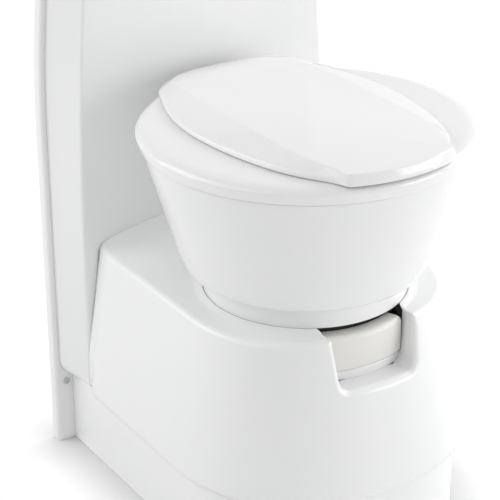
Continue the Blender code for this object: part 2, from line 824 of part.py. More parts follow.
def notch_pocket():
    """The walls and floor of the notch, from the lever's track out to the front of the base."""
    half = NOTCH_HALF + NOTCH_WALL
    top = BASE_TOP - BASE_WALL / 2
    low = (-half, BOWL_Y - BASE_LOW_FRONT, NOTCH_FLOOR - NOTCH_WALL)
    high = (half, BOWL_Y - DECK_FRONT, top)
    pocket = box("notch_pocket", low, high)
    body = [base_section(z, BASE_WALL / 2) for z in (BASE_LOW + BASE_LIP_ROUND, BASE_TOP)]
    combine(pocket, skin("base_body", body, round_trip=True, caps=True), "INTERSECT")
    floor_cut = rod(
        "pocket_floor_cut",
        (0, BOWL_Y, BASE_LOW),
        (0, BOWL_Y, NOTCH_FLOOR + OVERRUN),
        WELL_RING_OUTER + RUNNING_GAP,
        sides=2 * ROUND_STEPS,
    )
    combine(pocket, floor_cut)
    track = rod(
        "pocket_track",
        (0, BOWL_Y, NOTCH_FLOOR),
        (0, BOWL_Y, BASE_TOP + OVERRUN),
        POCKET_RADIUS,
        sides=2 * ROUND_STEPS,
    )
    return combine(pocket, track)


def well_cutter():
    """The round hole for the bowl's collar, with a softened rim."""
    rim = arc((WELL_RADIUS + WELL_RIM_ROUND, BASE_TOP - WELL_RIM_ROUND), WELL_RIM_ROUND, 90, 180, 4)
    outside = [(WELL_RADIUS + WELL_RIM_ROUND, BASE_TOP + OVERRUN), *rim, (WELL_RADIUS, BASE_TOP - OVERRUN)]
    return turned("well", [(0, BASE_TOP + OVERRUN), *outside, (0, BASE_TOP - OVERRUN)], closed=False)


def base_shell():
    shell = skin("base_shell", base_sections(), WHITE)
    thicken(shell, BASE_WALL)
    combine(shell, well_cutter())
    combine(shell, notch_pocket(), "UNION")
    combine(shell, notch_cutter())
    return combine(shell, back_trim("base_back_trim", CONSOLE_FROM_WALL + GAP))


def plinth_outline(inset, back):
    half = PLINTH_HALF - inset
    return whole_outline(rounded_front(half, PLINTH_FRONT - inset, back, half, 0))


def floor_plinth():
    """A wall round three sides that stands on the floor, with the tray that the cassette slides on."""
    back = FRAME_DEPTH + GAP
    plinth = plate("floor_plinth", plinth_outline(0, back), 0, PLINTH_TOP, WHITE)
    inside = plinth_outline(PLINTH_WALL, back - OVERRUN)
    hollow = plate("plinth_hollow", inside, TRAY_HEIGHT, PLINTH_TOP + OVERRUN)
    combine(plinth, hollow)
    for side_name, sign in (("left", -1), ("right", 1)):
        rail = box(
            f"rail_{side_name}",
            (min(sign * RAIL_INNER, sign * RAIL_OUTER), from_wall(RAIL_FRONT_FROM_WALL), TRAY_HEIGHT / 2),
            (max(sign * RAIL_INNER, sign * RAIL_OUTER), from_wall(back), RAIL_TOP),
        )
        combine(plinth, rail, "UNION")
    return plinth


# Support deck, rings and seal


def support_deck():
    outline = whole_outline(rounded_front(DECK_HALF, DECK_FRONT, DECK_BACK_FROM_WALL, DECK_HALF, 0))
    deck = plate("support_deck", outline, DECK_LOW, DECK_TOP, PALE_GREY)
    for index, distance in enumerate(LEGS_FROM_WALL):
        for side_name, sign in (("left", -1), ("right", 1)):
            leg_outer, leg_inner = sign * DECK_HALF, sign * (DECK_HALF - LEG_WIDTH)
            low = (min(leg_outer, leg_inner), from_wall(distance + LEG_LENGTH), TRAY_HEIGHT + GAP)
            high = (max(leg_outer, leg_inner), from_wall(distance), (DECK_LOW + DECK_TOP) / 2)
            combine(deck, box(f"leg_{side_name}_{index}", low, high), "UNION")
    low, high = (0, BOWL_Y, DECK_LOW - OVERRUN), (0, BOWL_Y, DECK_TOP + OVERRUN)
    return combine(deck, rod("deck_hole", low, high, DECK_HOLE, sides=RING_STEPS))


def well_ring():
    low = DECK_TOP + GAP
    return ring("well_ring", WELL_RING_INNER, WELL_RING_OUTER, low, WELL_RING_TOP, WHITE)


def bearing_ring():
    """A stepped ring whose raised track carries the bowl."""
    low = DECK_TOP + GAP
    middle = BEARING_OUTER - BEARING_STEP
    profile = [
        (BEARING_INNER, BEARING_TOP),
        (middle, BEARING_TOP),
        (middle, BEARING_TOP - BEARING_STEP),
        (BEARING_OUTER, BEARING_TOP - BEARING_STEP),
        (BEARING_OUTER, low),
        (BEARING_INNER, low),
    ]
    return turned("bearing_ring", profile, PALE_GREY, RING_STEPS)


def outlet_seal():
    inner = OUTLET_RADIUS + OUTLET_WALL + RUNNING_GAP
    outer = inner + SEAL_WALL
    flange = BEARING_INNER - RUNNING_GAP
    profile = [
        (inner, SEAL_TOP),
        (outer, SEAL_TOP),
        (outer, DECK_TOP + SEAL_WALL),
        (flange, DECK_TOP + SEAL_WALL),
        (flange, DECK_TOP + GAP),
        (DECK_HOLE - SEAL_FIT, DECK_TOP + GAP),
        (DECK_HOLE - SEAL_FIT, DECK_LOW + SEAL_WALL),
        (inner, DECK_LOW + SEAL_WALL),
    ]
    return turned("outlet_seal", profile, RUBBER, RING_STEPS)


# Slide lever


def ring_sector(inner, outer, start, end, count):
    """The outline of part of a ring round the bowl's axis."""
    angles = np.linspace(start, end, count)
    outside = [around_bowl(outer, a) for a in angles]
    return outside + [around_bowl(inner, a) for a in reversed(angles)]


def slide_lever():
    low = WELL_RING_TOP + GAP
    angles = np.linspace(LEVER_START_DEG, LEVER_END_DEG, 18)
    outline = [around_bowl(LEVER_OUTER, a) for a in angles]
    outline += [around_bowl(LEVER_INNER, a) for a in np.linspace(LEVER_END_DEG, LEVER_TAB_DEG[1], 10)]
    outline += [around_bowl(LEVER_TAB_INNER, a) for a in np.linspace(LEVER_TAB_DEG[1], LEVER_TAB_DEG[0], 4)]
    outline += [around_bowl(LEVER_INNER, a) for a in np.linspace(LEVER_TAB_DEG[0], LEVER_START_DEG, 3)]
    lever = plate("slide_lever", outline, low, LEVER_TOP, LEVER_GREY)
    return bevel(lever, LEVER_ROUND, 1, 60)


def drive_ring():
    """The ring under the bowl that the lever turns, with the upstand that joins it to the lever's tab."""
    low = DECK_TOP + GAP
    high = low + DRIVE_RING_HEIGHT
    outer = WELL_RING_INNER - RUNNING_GAP
    drive = ring("drive_ring", DRIVE_RING_INNER, outer, low, high, DARK_GREY, RING_STEPS)
    sector = ring_sector(LEVER_TAB_INNER, outer, *LEVER_TAB_DEG, 5)
    upstand = plate("drive_upstand", sector, (low + high) / 2, WELL_RING_TOP)
    return combine(drive, upstand, "UNION")


# Bowl


def bowl_shell():
    """The outer bowl: a straight cone, a rounded foot, the collar that drops into the well, and the spigot."""
    low = BEARING_TOP + GAP
    wall = BOWL_WALL
    inner_rim = BOWL_RIM_RADIUS - 2 * wall
    foot_centre = (BOWL_FOOT_RADIUS - BOWL_FOOT_ROUND, BOWL_FOOT_Z + BOWL_FOOT_ROUND)
    foot = arc(foot_centre, BOWL_FOOT_ROUND, *BOWL_FOOT_DEG, 5)
    outer = [
        (inner_rim, BOWL_RIM_Z),
        (BOWL_RIM_RADIUS - wall / 2, BOWL_RIM_Z),
        (BOWL_RIM_RADIUS, BOWL_RIM_Z - wall / 2),
        (BOWL_LOW_RADIUS, BOWL_LOW_Z),
        *foot,
        (COLLAR_RADIUS + wall, COLLAR_TOP + wall / 2),
        (COLLAR_RADIUS, COLLAR_TOP),
        (COLLAR_RADIUS, COLLAR_LOW),
        (SPIGOT_RADIUS, COLLAR_LOW),
        (SPIGOT_RADIUS, low),
        (SPIGOT_FLANGE_INNER, low),
    ]
    inner = [
        (SPIGOT_FLANGE_INNER, low + SPIGOT_FLANGE),
        (SPIGOT_RADIUS - wall, low + SPIGOT_FLANGE),
        (SPIGOT_RADIUS - wall, COLLAR_LOW + wall),
        (COLLAR_RADIUS - wall, COLLAR_LOW + wall),
        (COLLAR_RADIUS - wall, COLLAR_TOP + wall),
        (BOWL_FOOT_RADIUS - BOWL_FOOT_ROUND, BOWL_FOOT_Z + wall),
        (BOWL_LOW_RADIUS - wall, BOWL_LOW_Z),
        (inner_rim, BOWL_RIM_Z - 2 * wall),
    ]
    return turned("bowl_shell", outer + inner, WHITE)


def bowl_liner():
    """The glazed inlay: a flange on the rim, a flush rim and the funnel down to its waist."""
    wall = LINER_WALL
    flange_low = BOWL_RIM_Z + GAP
    skirt = BOWL_RIM_RADIUS - 2 * BOWL_WALL - RUNNING_GAP
    outside = [
        (LINER_RADIUS - FLUSH_RIM_WIDTH, LINER_FLANGE_TOP),
        (LINER_FLANGE_RADIUS - wall / 4, LINER_FLANGE_TOP),
        (LINER_FLANGE_RADIUS, LINER_FLANGE_TOP - wall / 4),
        (LINER_FLANGE_RADIUS, flange_low),
        (skirt, flange_low),
        (LINER_RADIUS, BOWL_RIM_Z - FLUSH_RIM_DEPTH),
        (LINER_WAIST_RADIUS + wall, LINER_WAIST_Z),
    ]
    inside = [
        (LINER_WAIST_RADIUS, LINER_WAIST_Z),
        (LINER_RADIUS - wall, BOWL_RIM_Z - FLUSH_RIM_DEPTH),
        (LINER_RADIUS - wall, BOWL_RIM_Z),
        (LINER_RADIUS - FLUSH_RIM_WIDTH + wall / 2, BOWL_RIM_Z),
        (LINER_RADIUS - FLUSH_RIM_WIDTH + wall / 2, BOWL_RIM_Z - FLUSH_RIM_DEPTH),
        (LINER_RADIUS - FLUSH_RIM_WIDTH, BOWL_RIM_Z - FLUSH_RIM_DEPTH),
    ]
    return turned("bowl_liner", outside + inside, CERAMIC)


def bowl_sump():
    """The sump that the inlay stands on, which narrows to the neck."""
    wall = LINER_WALL
    high = LINER_WAIST_Z - GAP
    profile = [
        (LINER_WAIST_RADIUS, high),
        (LINER_WAIST_RADIUS + wall, high),
        (LINER_SUMP_RADIUS + wall, LINER_SUMP_Z - wall),
        (OUTLET_RADIUS + OUTLET_WALL, LINER_NECK_Z - wall),
        (OUTLET_RADIUS, LINER_NECK_Z - wall),
        (OUTLET_RADIUS, LINER_NECK_Z),
        (LINER_SUMP_RADIUS, LINER_SUMP_Z),
        ((LINER_SUMP_RADIUS + LINER_WAIST_RADIUS) / 2 + wall, (LINER_SUMP_Z + LINER_WAIST_Z) / 2 - wall),
    ]
    return turned("bowl_sump", profile, WHITE)


def bowl_outlet():
    """The pipe from the sump's neck down through the deck's seal."""
    high = LINER_NECK_Z - LINER_WALL - GAP
    return ring("bowl_outlet", OUTLET_RADIUS, OUTLET_RADIUS + OUTLET_WALL, OUTLET_LOW, high, WHITE, RING_STEPS)


def lug_outline(radius, reach_y, low_z, high_z):
    """A lug in (y, z): round about the hinge axis, and straight to what carries it."""
    y = from_wall(HINGE_FROM_WALL)
    back = arc((y, HINGE_Z), radius, 90, -90, 9)
    return back + [(reach_y, low_z), (reach_y, high_z)]


def side_plate(name, outline, low_x, high_x, finish=None):
    """An outline in (y, z) with a thickness across."""
    obj = plate(name, outline, low_x, high_x, finish)
    turn = Matrix(((0, 0, 1, 0), (1, 0, 0, 0), (0, 1, 0, 0), (0, 0, 0, 1)))
    obj.data.transform(turn @ obj.matrix_world)
    obj.matrix_world = Matrix.Identity(4)
    return obj


def span(sign, pair):
    """A stretch across on one side, low end first."""
    return sorted((sign * pair[0], sign * pair[1]))


def pin_hole(name, sign):
    y = from_wall(HINGE_FROM_WALL)
    inner, outer = SEAT_LUG[0] - OVERRUN, LID_LUG[1] + OVERRUN
    start, end = (sign * inner, y, HINGE_Z), (sign * outer, y, HINGE_Z)
    return rod(name, start, end, PIN_HOLE_RADIUS, sides=TINY_STEPS)


def hinge_block(side_name, sign):
    """A post on the bowl's rim that holds the pin."""
    y = from_wall(HINGE_FROM_WALL)
    low = LINER_FLANGE_TOP + GAP
    top = arc((y, HINGE_Z), BLOCK_RADIUS, 0, 180, 9)
    foot = [
        (y - BLOCK_RADIUS - BLOCK_FOOT, low + BLOCK_FOOT / 2),
        (y - BLOCK_RADIUS - BLOCK_FOOT, low),
        (y + BLOCK_FOOT / 2, low),
    ]
    block = side_plate(f"hinge_block_{side_name}", top + foot, *span(sign, BLOCK), PALE_GREY)
    return combine(block, pin_hole(f"block_bore_{side_name}", sign))


def hinge_pin(side_name, sign):
    y = from_wall(HINGE_FROM_WALL)
    inner, outer = SEAT_LUG[0] + PIN_OVERHANG, LID_LUG[1] - PIN_OVERHANG
    start, end = (sign * inner, y, HINGE_Z), (sign * outer, y, HINGE_Z)
    return rod(f"hinge_pin_{side_name}", start, end, PIN_RADIUS, STEEL, sides=TINY_STEPS)


# Seat and lid


def seat_edge(kind, inset, degrees):
    """A place on the seat's outer circle or its oval hole, moved into the ring by an inset."""
    angle = math.radians(degrees)
    if kind == "outer":
        return around_bowl(SEAT_RADIUS - inset, degrees)
    return (
        (SEAT_HOLE_HALF + inset) * math.sin(angle),
        BOWL_Y - (SEAT_HOLE_FRONT + inset) * math.cos(angle),
    )


def seat_ring():
    half_round = SEAT_EDGE_ROUND / 2
    hole = SEAT_HOLE_ROUND
    section = [
        ("outer", SEAT_EDGE_ROUND, SEAT_TOP),
        ("outer", half_round, SEAT_TOP - hole / 8),
        ("outer", half_round / 3, SEAT_TOP - hole / 2),
        ("outer", 0, SEAT_EQUATOR),
        ("outer", SEAT_SKIRT_WALL / 4, SEAT_SKIRT),
        ("outer", SEAT_SKIRT_WALL, SEAT_SKIRT),
        ("outer", SEAT_SKIRT_WALL, SEAT_UNDER),
        ("hole", hole, SEAT_UNDER),
        ("hole", 0, (SEAT_UNDER + SEAT_TOP) / 2),
        ("hole", hole / 4, SEAT_TOP - hole / 4),
        ("hole", hole, SEAT_TOP),
    ]
    sections = []
    for kind, inset, z in section + section[:1]:
        turns = [360 * step / SEAT_STEPS for step in range(SEAT_STEPS)]
        sections.append([(*seat_edge(kind, inset, turn), z) for turn in turns])
    seat = skin("seat_ring", sections, WHITE, round_trip=True)
    rear_cut = box(
        "seat_rear_cut",
        (-SEAT_CUT_HALF, from_wall(SEAT_CUT_FROM_WALL), SEAT_SKIRT - OVERRUN),
        (SEAT_CUT_HALF, from_wall(-OVERRUN), SEAT_TOP + OVERRUN),
    )
    combine(seat, rear_cut)
    reach = from_wall(SEAT_CUT_FROM_WALL + OVERRUN)
    for side_name, sign in (("left", -1), ("right", 1)):
        outline = lug_outline(LUG_RADIUS, reach, SEAT_UNDER + GAP, SEAT_TOP - GAP)
        lug = side_plate(f"seat_lug_{side_name}", outline, *span(sign, SEAT_LUG))
        combine(lug, pin_hole(f"seat_bore_{side_name}", sign))
        combine(seat, lug, "UNION")
    return seat


def seat_buffer(place, degrees):
    x, y = around_bowl(SEAT_BUFFER_RADIUS, degrees)
    start, end = (x, y, LINER_FLANGE_TOP + GAP), (x, y, SEAT_UNDER - GAP)
    return rod(f"seat_buffer_{place}", start, end, BUFFER_RADIUS, RUBBER, sides=TINY_STEPS)


LID_SIDE_COUNT = 11
LID_END_COUNT = 5


def lid_outline(half, shares, front_radius, rear, corner):
    """A barrel outline from the middle of the rear, down one side, along the front, and back up the other."""
    stations = np.linspace(0, 1, LID_SIDE_COUNT)
    widths = half * np.interp(stations, LID_STATION_SHARES, shares)
    front_corner_y = BOWL_Y - math.sqrt(front_radius**2 - widths[-1] ** 2)
    corner_y = from_wall(corner)
    side = [(-w, corner_y + (front_corner_y - corner_y) * s) for w, s in zip(widths, stations)]
    rear_y = from_wall(rear)
    rear_edge = []
    for step in range(LID_END_COUNT):
        share = step / LID_END_COUNT
        x = -widths[0] * math.sin(share * math.pi / 2)
        rear_edge.append((x, corner_y + (rear_y - corner_y) * (1 - (abs(x) / widths[0]) ** 3)))
    front_edge = []
    for step in range(1, LID_END_COUNT):
        x = -widths[-1] * (1 - step / LID_END_COUNT)
        front_edge.append((x, BOWL_Y - math.sqrt(front_radius**2 - x**2)))
    half_points = rear_edge + side + front_edge + [(0, BOWL_Y - front_radius)]
    return half_points + [(-x, y) for x, y in reversed(half_points[1:-1])]


def end_blend(y, front, middle, rear):
    """A height that is one value over most of the lid and eases to others at its front and rear edges."""
    front_reach = (y - (BOWL_Y - LID_FRONT_RADIUS)) / (LID_FRONT_RADIUS / 2)
    rear_reach = (from_wall(LID_REAR_FROM_WALL) - y) / (LID_FRONT_RADIUS / 2)
    front_ease = max(1 - front_reach, 0) ** 2
    rear_ease = max(1 - rear_reach, 0) ** 2
    return middle + (front - middle) * front_ease + (rear - middle) * rear_ease


def between(low, top, across_share, up_share):
    """The outline that lies part of the way from one outline to another, across and up."""
    points = []
    for (x0, y0, z0), (x1, y1, z1) in zip(low, top):
        points.append((x0 + (x1 - x0) * across_share, y0 + (y1 - y0) * across_share, z0 + (z1 - z0) * up_share))
    return points


def lid_sections():
    """Sections from the lid's lower edge, over the soft crease, to the spine of its crowned top."""
    lean = LID_LIP_LEAN
    rear, corner = LID_REAR_FROM_WALL, LID_CORNER_FROM_WALL
    edge = lid_outline(LID_HALF, LID_EDGE_SHARES, LID_FRONT_RADIUS, rear, corner)
    crease = lid_outline(
        LID_CREASE_HALF,
        LID_CREASE_SHARES,
        LID_FRONT_RADIUS - lean,
        rear + lean,
        corner + lean,
    )
    edge_rises = (LID_FRONT_EDGE_RISE, LID_EDGE_RISE, LID_REAR_EDGE_RISE)
    crease_rises = (LID_FRONT_CREASE_RISE, LID_CREASE_RISE, LID_REAR_CREASE_RISE)
    low = [(x, y, SEAT_TOP + end_blend(y, *edge_rises)) for x, y in edge]
    top = [(x, y, SEAT_TOP + end_blend(y, *crease_rises)) for x, y in crease]
    lip = between(low, top, *LID_LIP_SHARES)
    flank = between(low, top, *LID_FLANK_SHARES)
    sections = [low, lip, flank, top]
    spine_reach = LID_FRONT_RADIUS * LID_SPINE_SHARE
    for share in LID_CROWN_SHARES:
        section = []
        for x, y, z in top:
            spine_y = min(max(y, BOWL_Y - spine_reach), BOWL_Y + spine_reach)
            section.append((x * share, spine_y + (y - spine_y) * share, z + LID_CROWN * (1 - share**2)))
        sections.append(section)
    return sections


def lid():
    shell = skin("lid", lid_sections(), WHITE, round_trip=True)
    thicken(shell, LID_WALL)
    y = from_wall(HINGE_FROM_WALL)
    top = SEAT_TOP + LID_REAR_CREASE_RISE
    for side_name, sign in (("left", -1), ("right", 1)):
        outline = [*arc((y, HINGE_Z), LUG_RADIUS, 0, -180, 9), (y - LUG_RADIUS, top), (y + LUG_RADIUS, top)]
        lug = side_plate(f"lid_lug_{side_name}", outline, *span(sign, LID_LUG))
        combine(lug, pin_hole(f"lid_bore_{side_name}", sign))
        combine(shell, lug, "UNION")
    return shell


def lid_buffer(side_name, sign):
    x, y = sign * LID_BUFFER_X, from_wall(LID_BUFFER_FROM_WALL)
    start, end = (x, y, SEAT_TOP + GAP), (x, y, SEAT_TOP + LID_BUFFER_HEIGHT)
    return rod(f"lid_buffer_{side_name}", start, end, BUFFER_RADIUS, RUBBER, sides=TINY_STEPS)


# Control panel, screws


def panel_bezel():
    back = CONSOLE_FROM_WALL + GAP
    low = (-PANEL_HALF_WIDTH, from_wall(back + PANEL_THICK), PANEL_Z - PANEL_HALF_HEIGHT)
    high = (PANEL_HALF_WIDTH, from_wall(back), PANEL_Z + PANEL_HALF_HEIGHT)
    bezel = bevel(box("panel_bezel", low, high, PALE_GREY), PANEL_ROUND, 1, 60)
    button_hole = rod(
        "bezel_hole",
        (PANEL_BUTTON_X, from_wall(back - OVERRUN), PANEL_Z),
        (PANEL_BUTTON_X, from_wall(back + OVERRUN), PANEL_Z),
        PANEL_BUTTON_RADIUS + RUNNING_GAP,
    )
    combine(bezel, button_hole)
    window_hole = box(
        "window_hole",
        (PANEL_WINDOW_X - PANEL_WINDOW_HALF, from_wall(back + OVERRUN), PANEL_Z - PANEL_WINDOW_RISE),
        (PANEL_WINDOW_X + PANEL_WINDOW_HALF, from_wall(back - OVERRUN), PANEL_Z + PANEL_WINDOW_RISE),
    )
    return combine(bezel, window_hole)


def flush_button():
    front = CONSOLE_FROM_WALL + GAP + PANEL_THICK + PANEL_BUTTON_PROUD
    button = rod(
        "flush_button",
        (PANEL_BUTTON_X, from_wall(front), PANEL_Z),
        (PANEL_BUTTON_X, from_wall(front - PANEL_BUTTON_BODY), PANEL_Z),
        PANEL_BUTTON_RADIUS,
        WHITE,
    )
    return bevel(button, BUTTON_FLANGE, 1, 60)


def level_window():
    back = CONSOLE_FROM_WALL + 2 * GAP
    inset = 2 * GAP
    low = (
        PANEL_WINDOW_X - PANEL_WINDOW_HALF + inset,
        from_wall(back + PANEL_THICK),
        PANEL_Z - PANEL_WINDOW_RISE + inset,
    )
    high = (PANEL_WINDOW_X + PANEL_WINDOW_HALF - inset, from_wall(back), PANEL_Z + PANEL_WINDOW_RISE - inset)
    return box("level_window", low, high, SMOKED)


def frame_screw(side_name, sign):
    """A round-headed screw through the frame into the floor cleat behind it."""
    head = FRAME_DEPTH + GAP
    screw = rod(
        f"frame_screw_{side_name}",
        (sign * SCREW_X, from_wall(head), SCREW_Z),
        (sign * SCREW_X, from_wall(head + SCREW_HEAD), SCREW_Z),
        SCREW_HEAD_RADIUS,
        STEEL,
        sides=TINY_STEPS,
    )
    bevel(screw, SCREW_HEAD / 3, 1, 60)
    shank = rod(
        f"screw_shank_{side_name}",
        (sign * SCREW_X, from_wall(head + SCREW_HEAD / 2), SCREW_Z),
        (sign * SCREW_X, from_wall(head - SCREW_LENGTH + SCREW_HEAD), SCREW_Z),
        SCREW_SHANK_RADIUS,
        sides=TINY_STEPS,
    )
    return combine(screw, shank, "UNION")


# Flush water


def flush_tank():
    low = (-TANK_HALF, from_wall(TANK_FRONT_FROM_WALL), TANK_LOW)
    high = (TANK_HALF, from_wall(TANK_BACK_FROM_WALL), TANK_TOP)
    tank = bevel(box("flush_tank", low, high, TANK_NATURAL), TANK_ROUND, 2)
    neck = rod(
        "filler_neck",
        (FILLER_X, from_wall(FILLER_CAP_FRONT + GAP), FILLER_Z),
        (FILLER_X, from_wall(TANK_BACK_FROM_WALL + TANK_WALL / 2), FILLER_Z),
        FILLER_RADIUS,
    )
    combine(tank, neck, "UNION")
    wall = TANK_WALL
    hollow = box("tank_hollow", [v + wall for v in low], [v - wall for v in high])
    combine(tank, hollow)
    bore = rod(
        "filler_bore",
        (FILLER_X, from_wall(-OVERRUN), FILLER_Z),
        (FILLER_X, from_wall(TANK_BACK_FROM_WALL + OVERRUN), FILLER_Z),
        FILLER_BORE,
    )
    combine(tank, bore)
    outlet = rod(
        "pump_outlet",
        (PUMP_X, pump_y(), TANK_LOW - OVERRUN),
        (PUMP_X, pump_y(), TANK_LOW + wall + GAP),
        HOSE_RADIUS + GAP,
        sides=TINY_STEPS,
    )
    return combine(tank, outlet)


def filler_cap():
    """A screw cap with a grip bar, reached from behind through the frame."""
    back, front = FILLER_CAP_BACK + GRIP_DEPTH, FILLER_CAP_FRONT
    cap = rod(
        "filler_cap",
        (FILLER_X, from_wall(back), FILLER_Z),
        (FILLER_X, from_wall(front), FILLER_Z),
        FILLER_CAP_RADIUS,
        DARK_GREY,
    )
    bevel(cap, GRIP_DEPTH / 4, 1, 60)
    grip = box(
        "filler_grip",
        (FILLER_X - GRIP_LENGTH, from_wall(back + GRIP_DEPTH / 2), FILLER_Z - GRIP_HALF),
        (FILLER_X + GRIP_LENGTH, from_wall(FILLER_CAP_BACK), FILLER_Z + GRIP_HALF),
    )
    return combine(cap, grip, "UNION")


def pump_y():
    return from_wall((TANK_BACK_FROM_WALL + TANK_FRONT_FROM_WALL) / 2)


def flush_pump():
    low = TANK_LOW + TANK_WALL + GAP
    neck = PUMP_RADIUS * PUMP_NECK_SHARE
    shoulder = PUMP_RADIUS * PUMP_SHOULDER_SHARE
    top = low + PUMP_HEIGHT
    profile = [
        (0, top),
        (neck, top),
        (neck, top - shoulder),
        (PUMP_RADIUS, top - 2 * shoulder),
        (PUMP_RADIUS, low + PUMP_STRAINER),
        (PUMP_RADIUS - shoulder / 2, low + PUMP_STRAINER - shoulder / 2),
        (PUMP_RADIUS - shoulder / 2, low),
        (0, low),
    ]
    return turned("flush_pump", profile, GREEN_GREY, SMALL_STEPS, (PUMP_X, pump_y()), closed=False)


def flush_elbow():
    """The fitting on the deck that takes the hose."""
    y = from_wall(ELBOW_FROM_WALL)
    low = DECK_TOP + GAP
    elbow = rod("flush_elbow", (PUMP_X, y, low), (PUMP_X, y, ELBOW_TOP), ELBOW_RADIUS, DARK_GREY)
    bevel(elbow, ELBOW_RADIUS / 5, 1, 60)
    socket = rod(
        "elbow_socket",
        (PUMP_X, y, HOSE_END_Z),
        (PUMP_X, y + ELBOW_RADIUS + HOSE_SOCKET, HOSE_END_Z),
        HOSE_SOCKET,
        sides=TINY_STEPS,
    )
    return combine(elbow, socket, "UNION")


def flush_hose():
    start = (PUMP_X, pump_y(), TANK_LOW - GAP)
    end_y = from_wall(ELBOW_FROM_WALL) + ELBOW_RADIUS + HOSE_SOCKET + GAP
    corners = [start, (PUMP_X, pump_y(), HOSE_END_Z), (PUMP_X, end_y, HOSE_END_Z)]
    return tube("flush_hose", rounded_path(corners, HOSE_BEND, 6), HOSE_RADIUS, DARK_GREY)


# Cassette


def recess_floor():
    return CASSETTE_TOP - BAY_RECESS_DEPTH


def cassette_block():
    """The outside of the waste tank, with its recesses for the spout and the wheels."""
    low = (-CASSETTE_HALF, from_wall(CASSETTE_FRONT), CASSETTE_LOW)
    high = (CASSETTE_HALF, from_wall(CASSETTE_BACK), CASSETTE_TOP)
    tank = bevel(box("cassette_tank", low, high, PALE_GREY), CASSETTE_ROUND, 2)
    recess_low = (SPOUT_RECESS[0], from_wall(SPOUT_RECESS_FRONT), recess_floor())
    recess_high = (SPOUT_RECESS[1], from_wall(CASSETTE_BACK - OVERRUN), CASSETTE_TOP + OVERRUN)
    combine(tank, box("spout_recess", recess_low, recess_high))
    for side_name, sign in (("left", -1), ("right", 1)):
        inner, outer = span(sign, (WHEEL_RECESS_X, CASSETTE_HALF + OVERRUN))
        wheel_low = (inner, from_wall(CASSETTE_FRONT + OVERRUN), CASSETTE_LOW - OVERRUN)
        wheel_high = (outer, from_wall(WHEEL_RECESS_BACK), WHEEL_RECESS_TOP)
        combine(tank, box(f"wheel_recess_{side_name}", wheel_low, wheel_high))
        x_low, x_high = span(sign, BRACKET)
        bracket_low = (x_low, from_wall(CASSETTE_BACK + CASSETTE_WALL / 2), HANDLE_Z - BRACKET_HALF_HEIGHT)
        bracket_high = (x_high, from_wall(BRACKET_BACK), HANDLE_Z + BRACKET_HALF_HEIGHT)
        combine(tank, box(f"handle_bracket_{side_name}", bracket_low, bracket_high), "UNION")
    return tank


def cassette_hollows():
    """The inside of the tank as three boxes: its middle, its nose between the wheels, and below the spout."""
    wall = CASSETTE_WALL
    low, top = CASSETTE_LOW + wall, CASSETTE_TOP - wall
    middle_half, nose_half = CASSETTE_HALF - wall, WHEEL_RECESS_X - wall
    meet = CASSETTE_FRONT / 2
    return (
        (middle_half, WHEEL_RECESS_BACK - wall, SPOUT_RECESS_FRONT + wall, low, top),
        (nose_half, CASSETTE_FRONT - wall, meet, low, top),
        (middle_half, meet, CASSETTE_BACK + wall, low, recess_floor() - wall),
    )


def upright_hole(name, x, y, z, radius, sides=TINY_STEPS):
    """A round cutter through a wall that lies level at this height."""
    return rod(name, (x, y, z - OVERRUN), (x, y, z + OVERRUN), radius, sides=sides)


def cassette_tank():
    tank = cassette_block()
    for index, (half, near, far, low, top) in enumerate(cassette_hollows()):
        corners = (-half, from_wall(near), low), (half, from_wall(far), top)
        combine(tank, box(f"cassette_hollow_{index}", *corners))
    combine(tank, upright_hole("inlet_hole", 0, BOWL_Y, CASSETTE_TOP, INLET_RADIUS, SMALL_STEPS))
    spout_y, vent_y = from_wall(SPOUT_FROM_WALL), from_wall(VENT_FROM_WALL)
    combine(tank, upright_hole("spout_hole", SPOUT_X, spout_y, recess_floor(), SPOUT_BORE))
    combine(tank, upright_hole("vent_hole", VENT_X, vent_y, CASSETTE_TOP, VENT_RADIUS + RUNNING_GAP))
    handle_y = from_wall(HANDLE_FROM_WALL)
    reach = BRACKET[1] + OVERRUN
    start, end = (-reach, handle_y, HANDLE_Z), (reach, handle_y, HANDLE_Z)
    return combine(tank, rod("handle_bore", start, end, HANDLE_RADIUS + RUNNING_GAP, sides=TINY_STEPS))


def blade_housing():
    """The guide on top of the cassette, with the slot that the blade slides in."""
    low = (-HOUSING_HALF, from_wall(HOUSING_FRONT), CASSETTE_TOP + GAP)
    high = (HOUSING_HALF, from_wall(HOUSING_BACK), HOUSING_TOP)
    housing = box("blade_housing", low, high, DARK_GREY)
    margin = (HOUSING_HALF - BLADE_SLOT_HALF) / 2
    slot = box(
        "blade_slot",
        (-BLADE_SLOT_HALF, from_wall(HOUSING_FRONT - margin), BLADE_SLOT_LOW),
        (BLADE_SLOT_HALF, from_wall(HOUSING_BACK + margin), BLADE_SLOT_TOP),
    )
    combine(housing, slot)
    hole = rod(
        "housing_hole",
        (0, BOWL_Y, CASSETTE_TOP - OVERRUN),
        (0, BOWL_Y, HOUSING_TOP + OVERRUN),
        INLET_RADIUS,
        sides=SMALL_STEPS,
    )
    return combine(housing, hole)


def slide_blade():
    low, high = BLADE_SLOT_LOW + GAP, BLADE_SLOT_TOP - GAP
    front, back = BOWL_Y - BLADE_LENGTH / 2, BOWL_Y + BLADE_LENGTH / 2
    inner_x = BLADE_HALF - BLADE_CORNER
    corners = [
        ((inner_x, back - BLADE_CORNER), 0),
        ((-inner_x, back - BLADE_CORNER), 90),
        ((-inner_x, front + BLADE_CORNER), 180),
        ((inner_x, front + BLADE_CORNER), 270),
    ]
    outline = [point for centre, start in corners for point in arc(centre, BLADE_CORNER, start, start + 90, 5)]
    return plate("slide_blade", outline, low, high, STEEL)


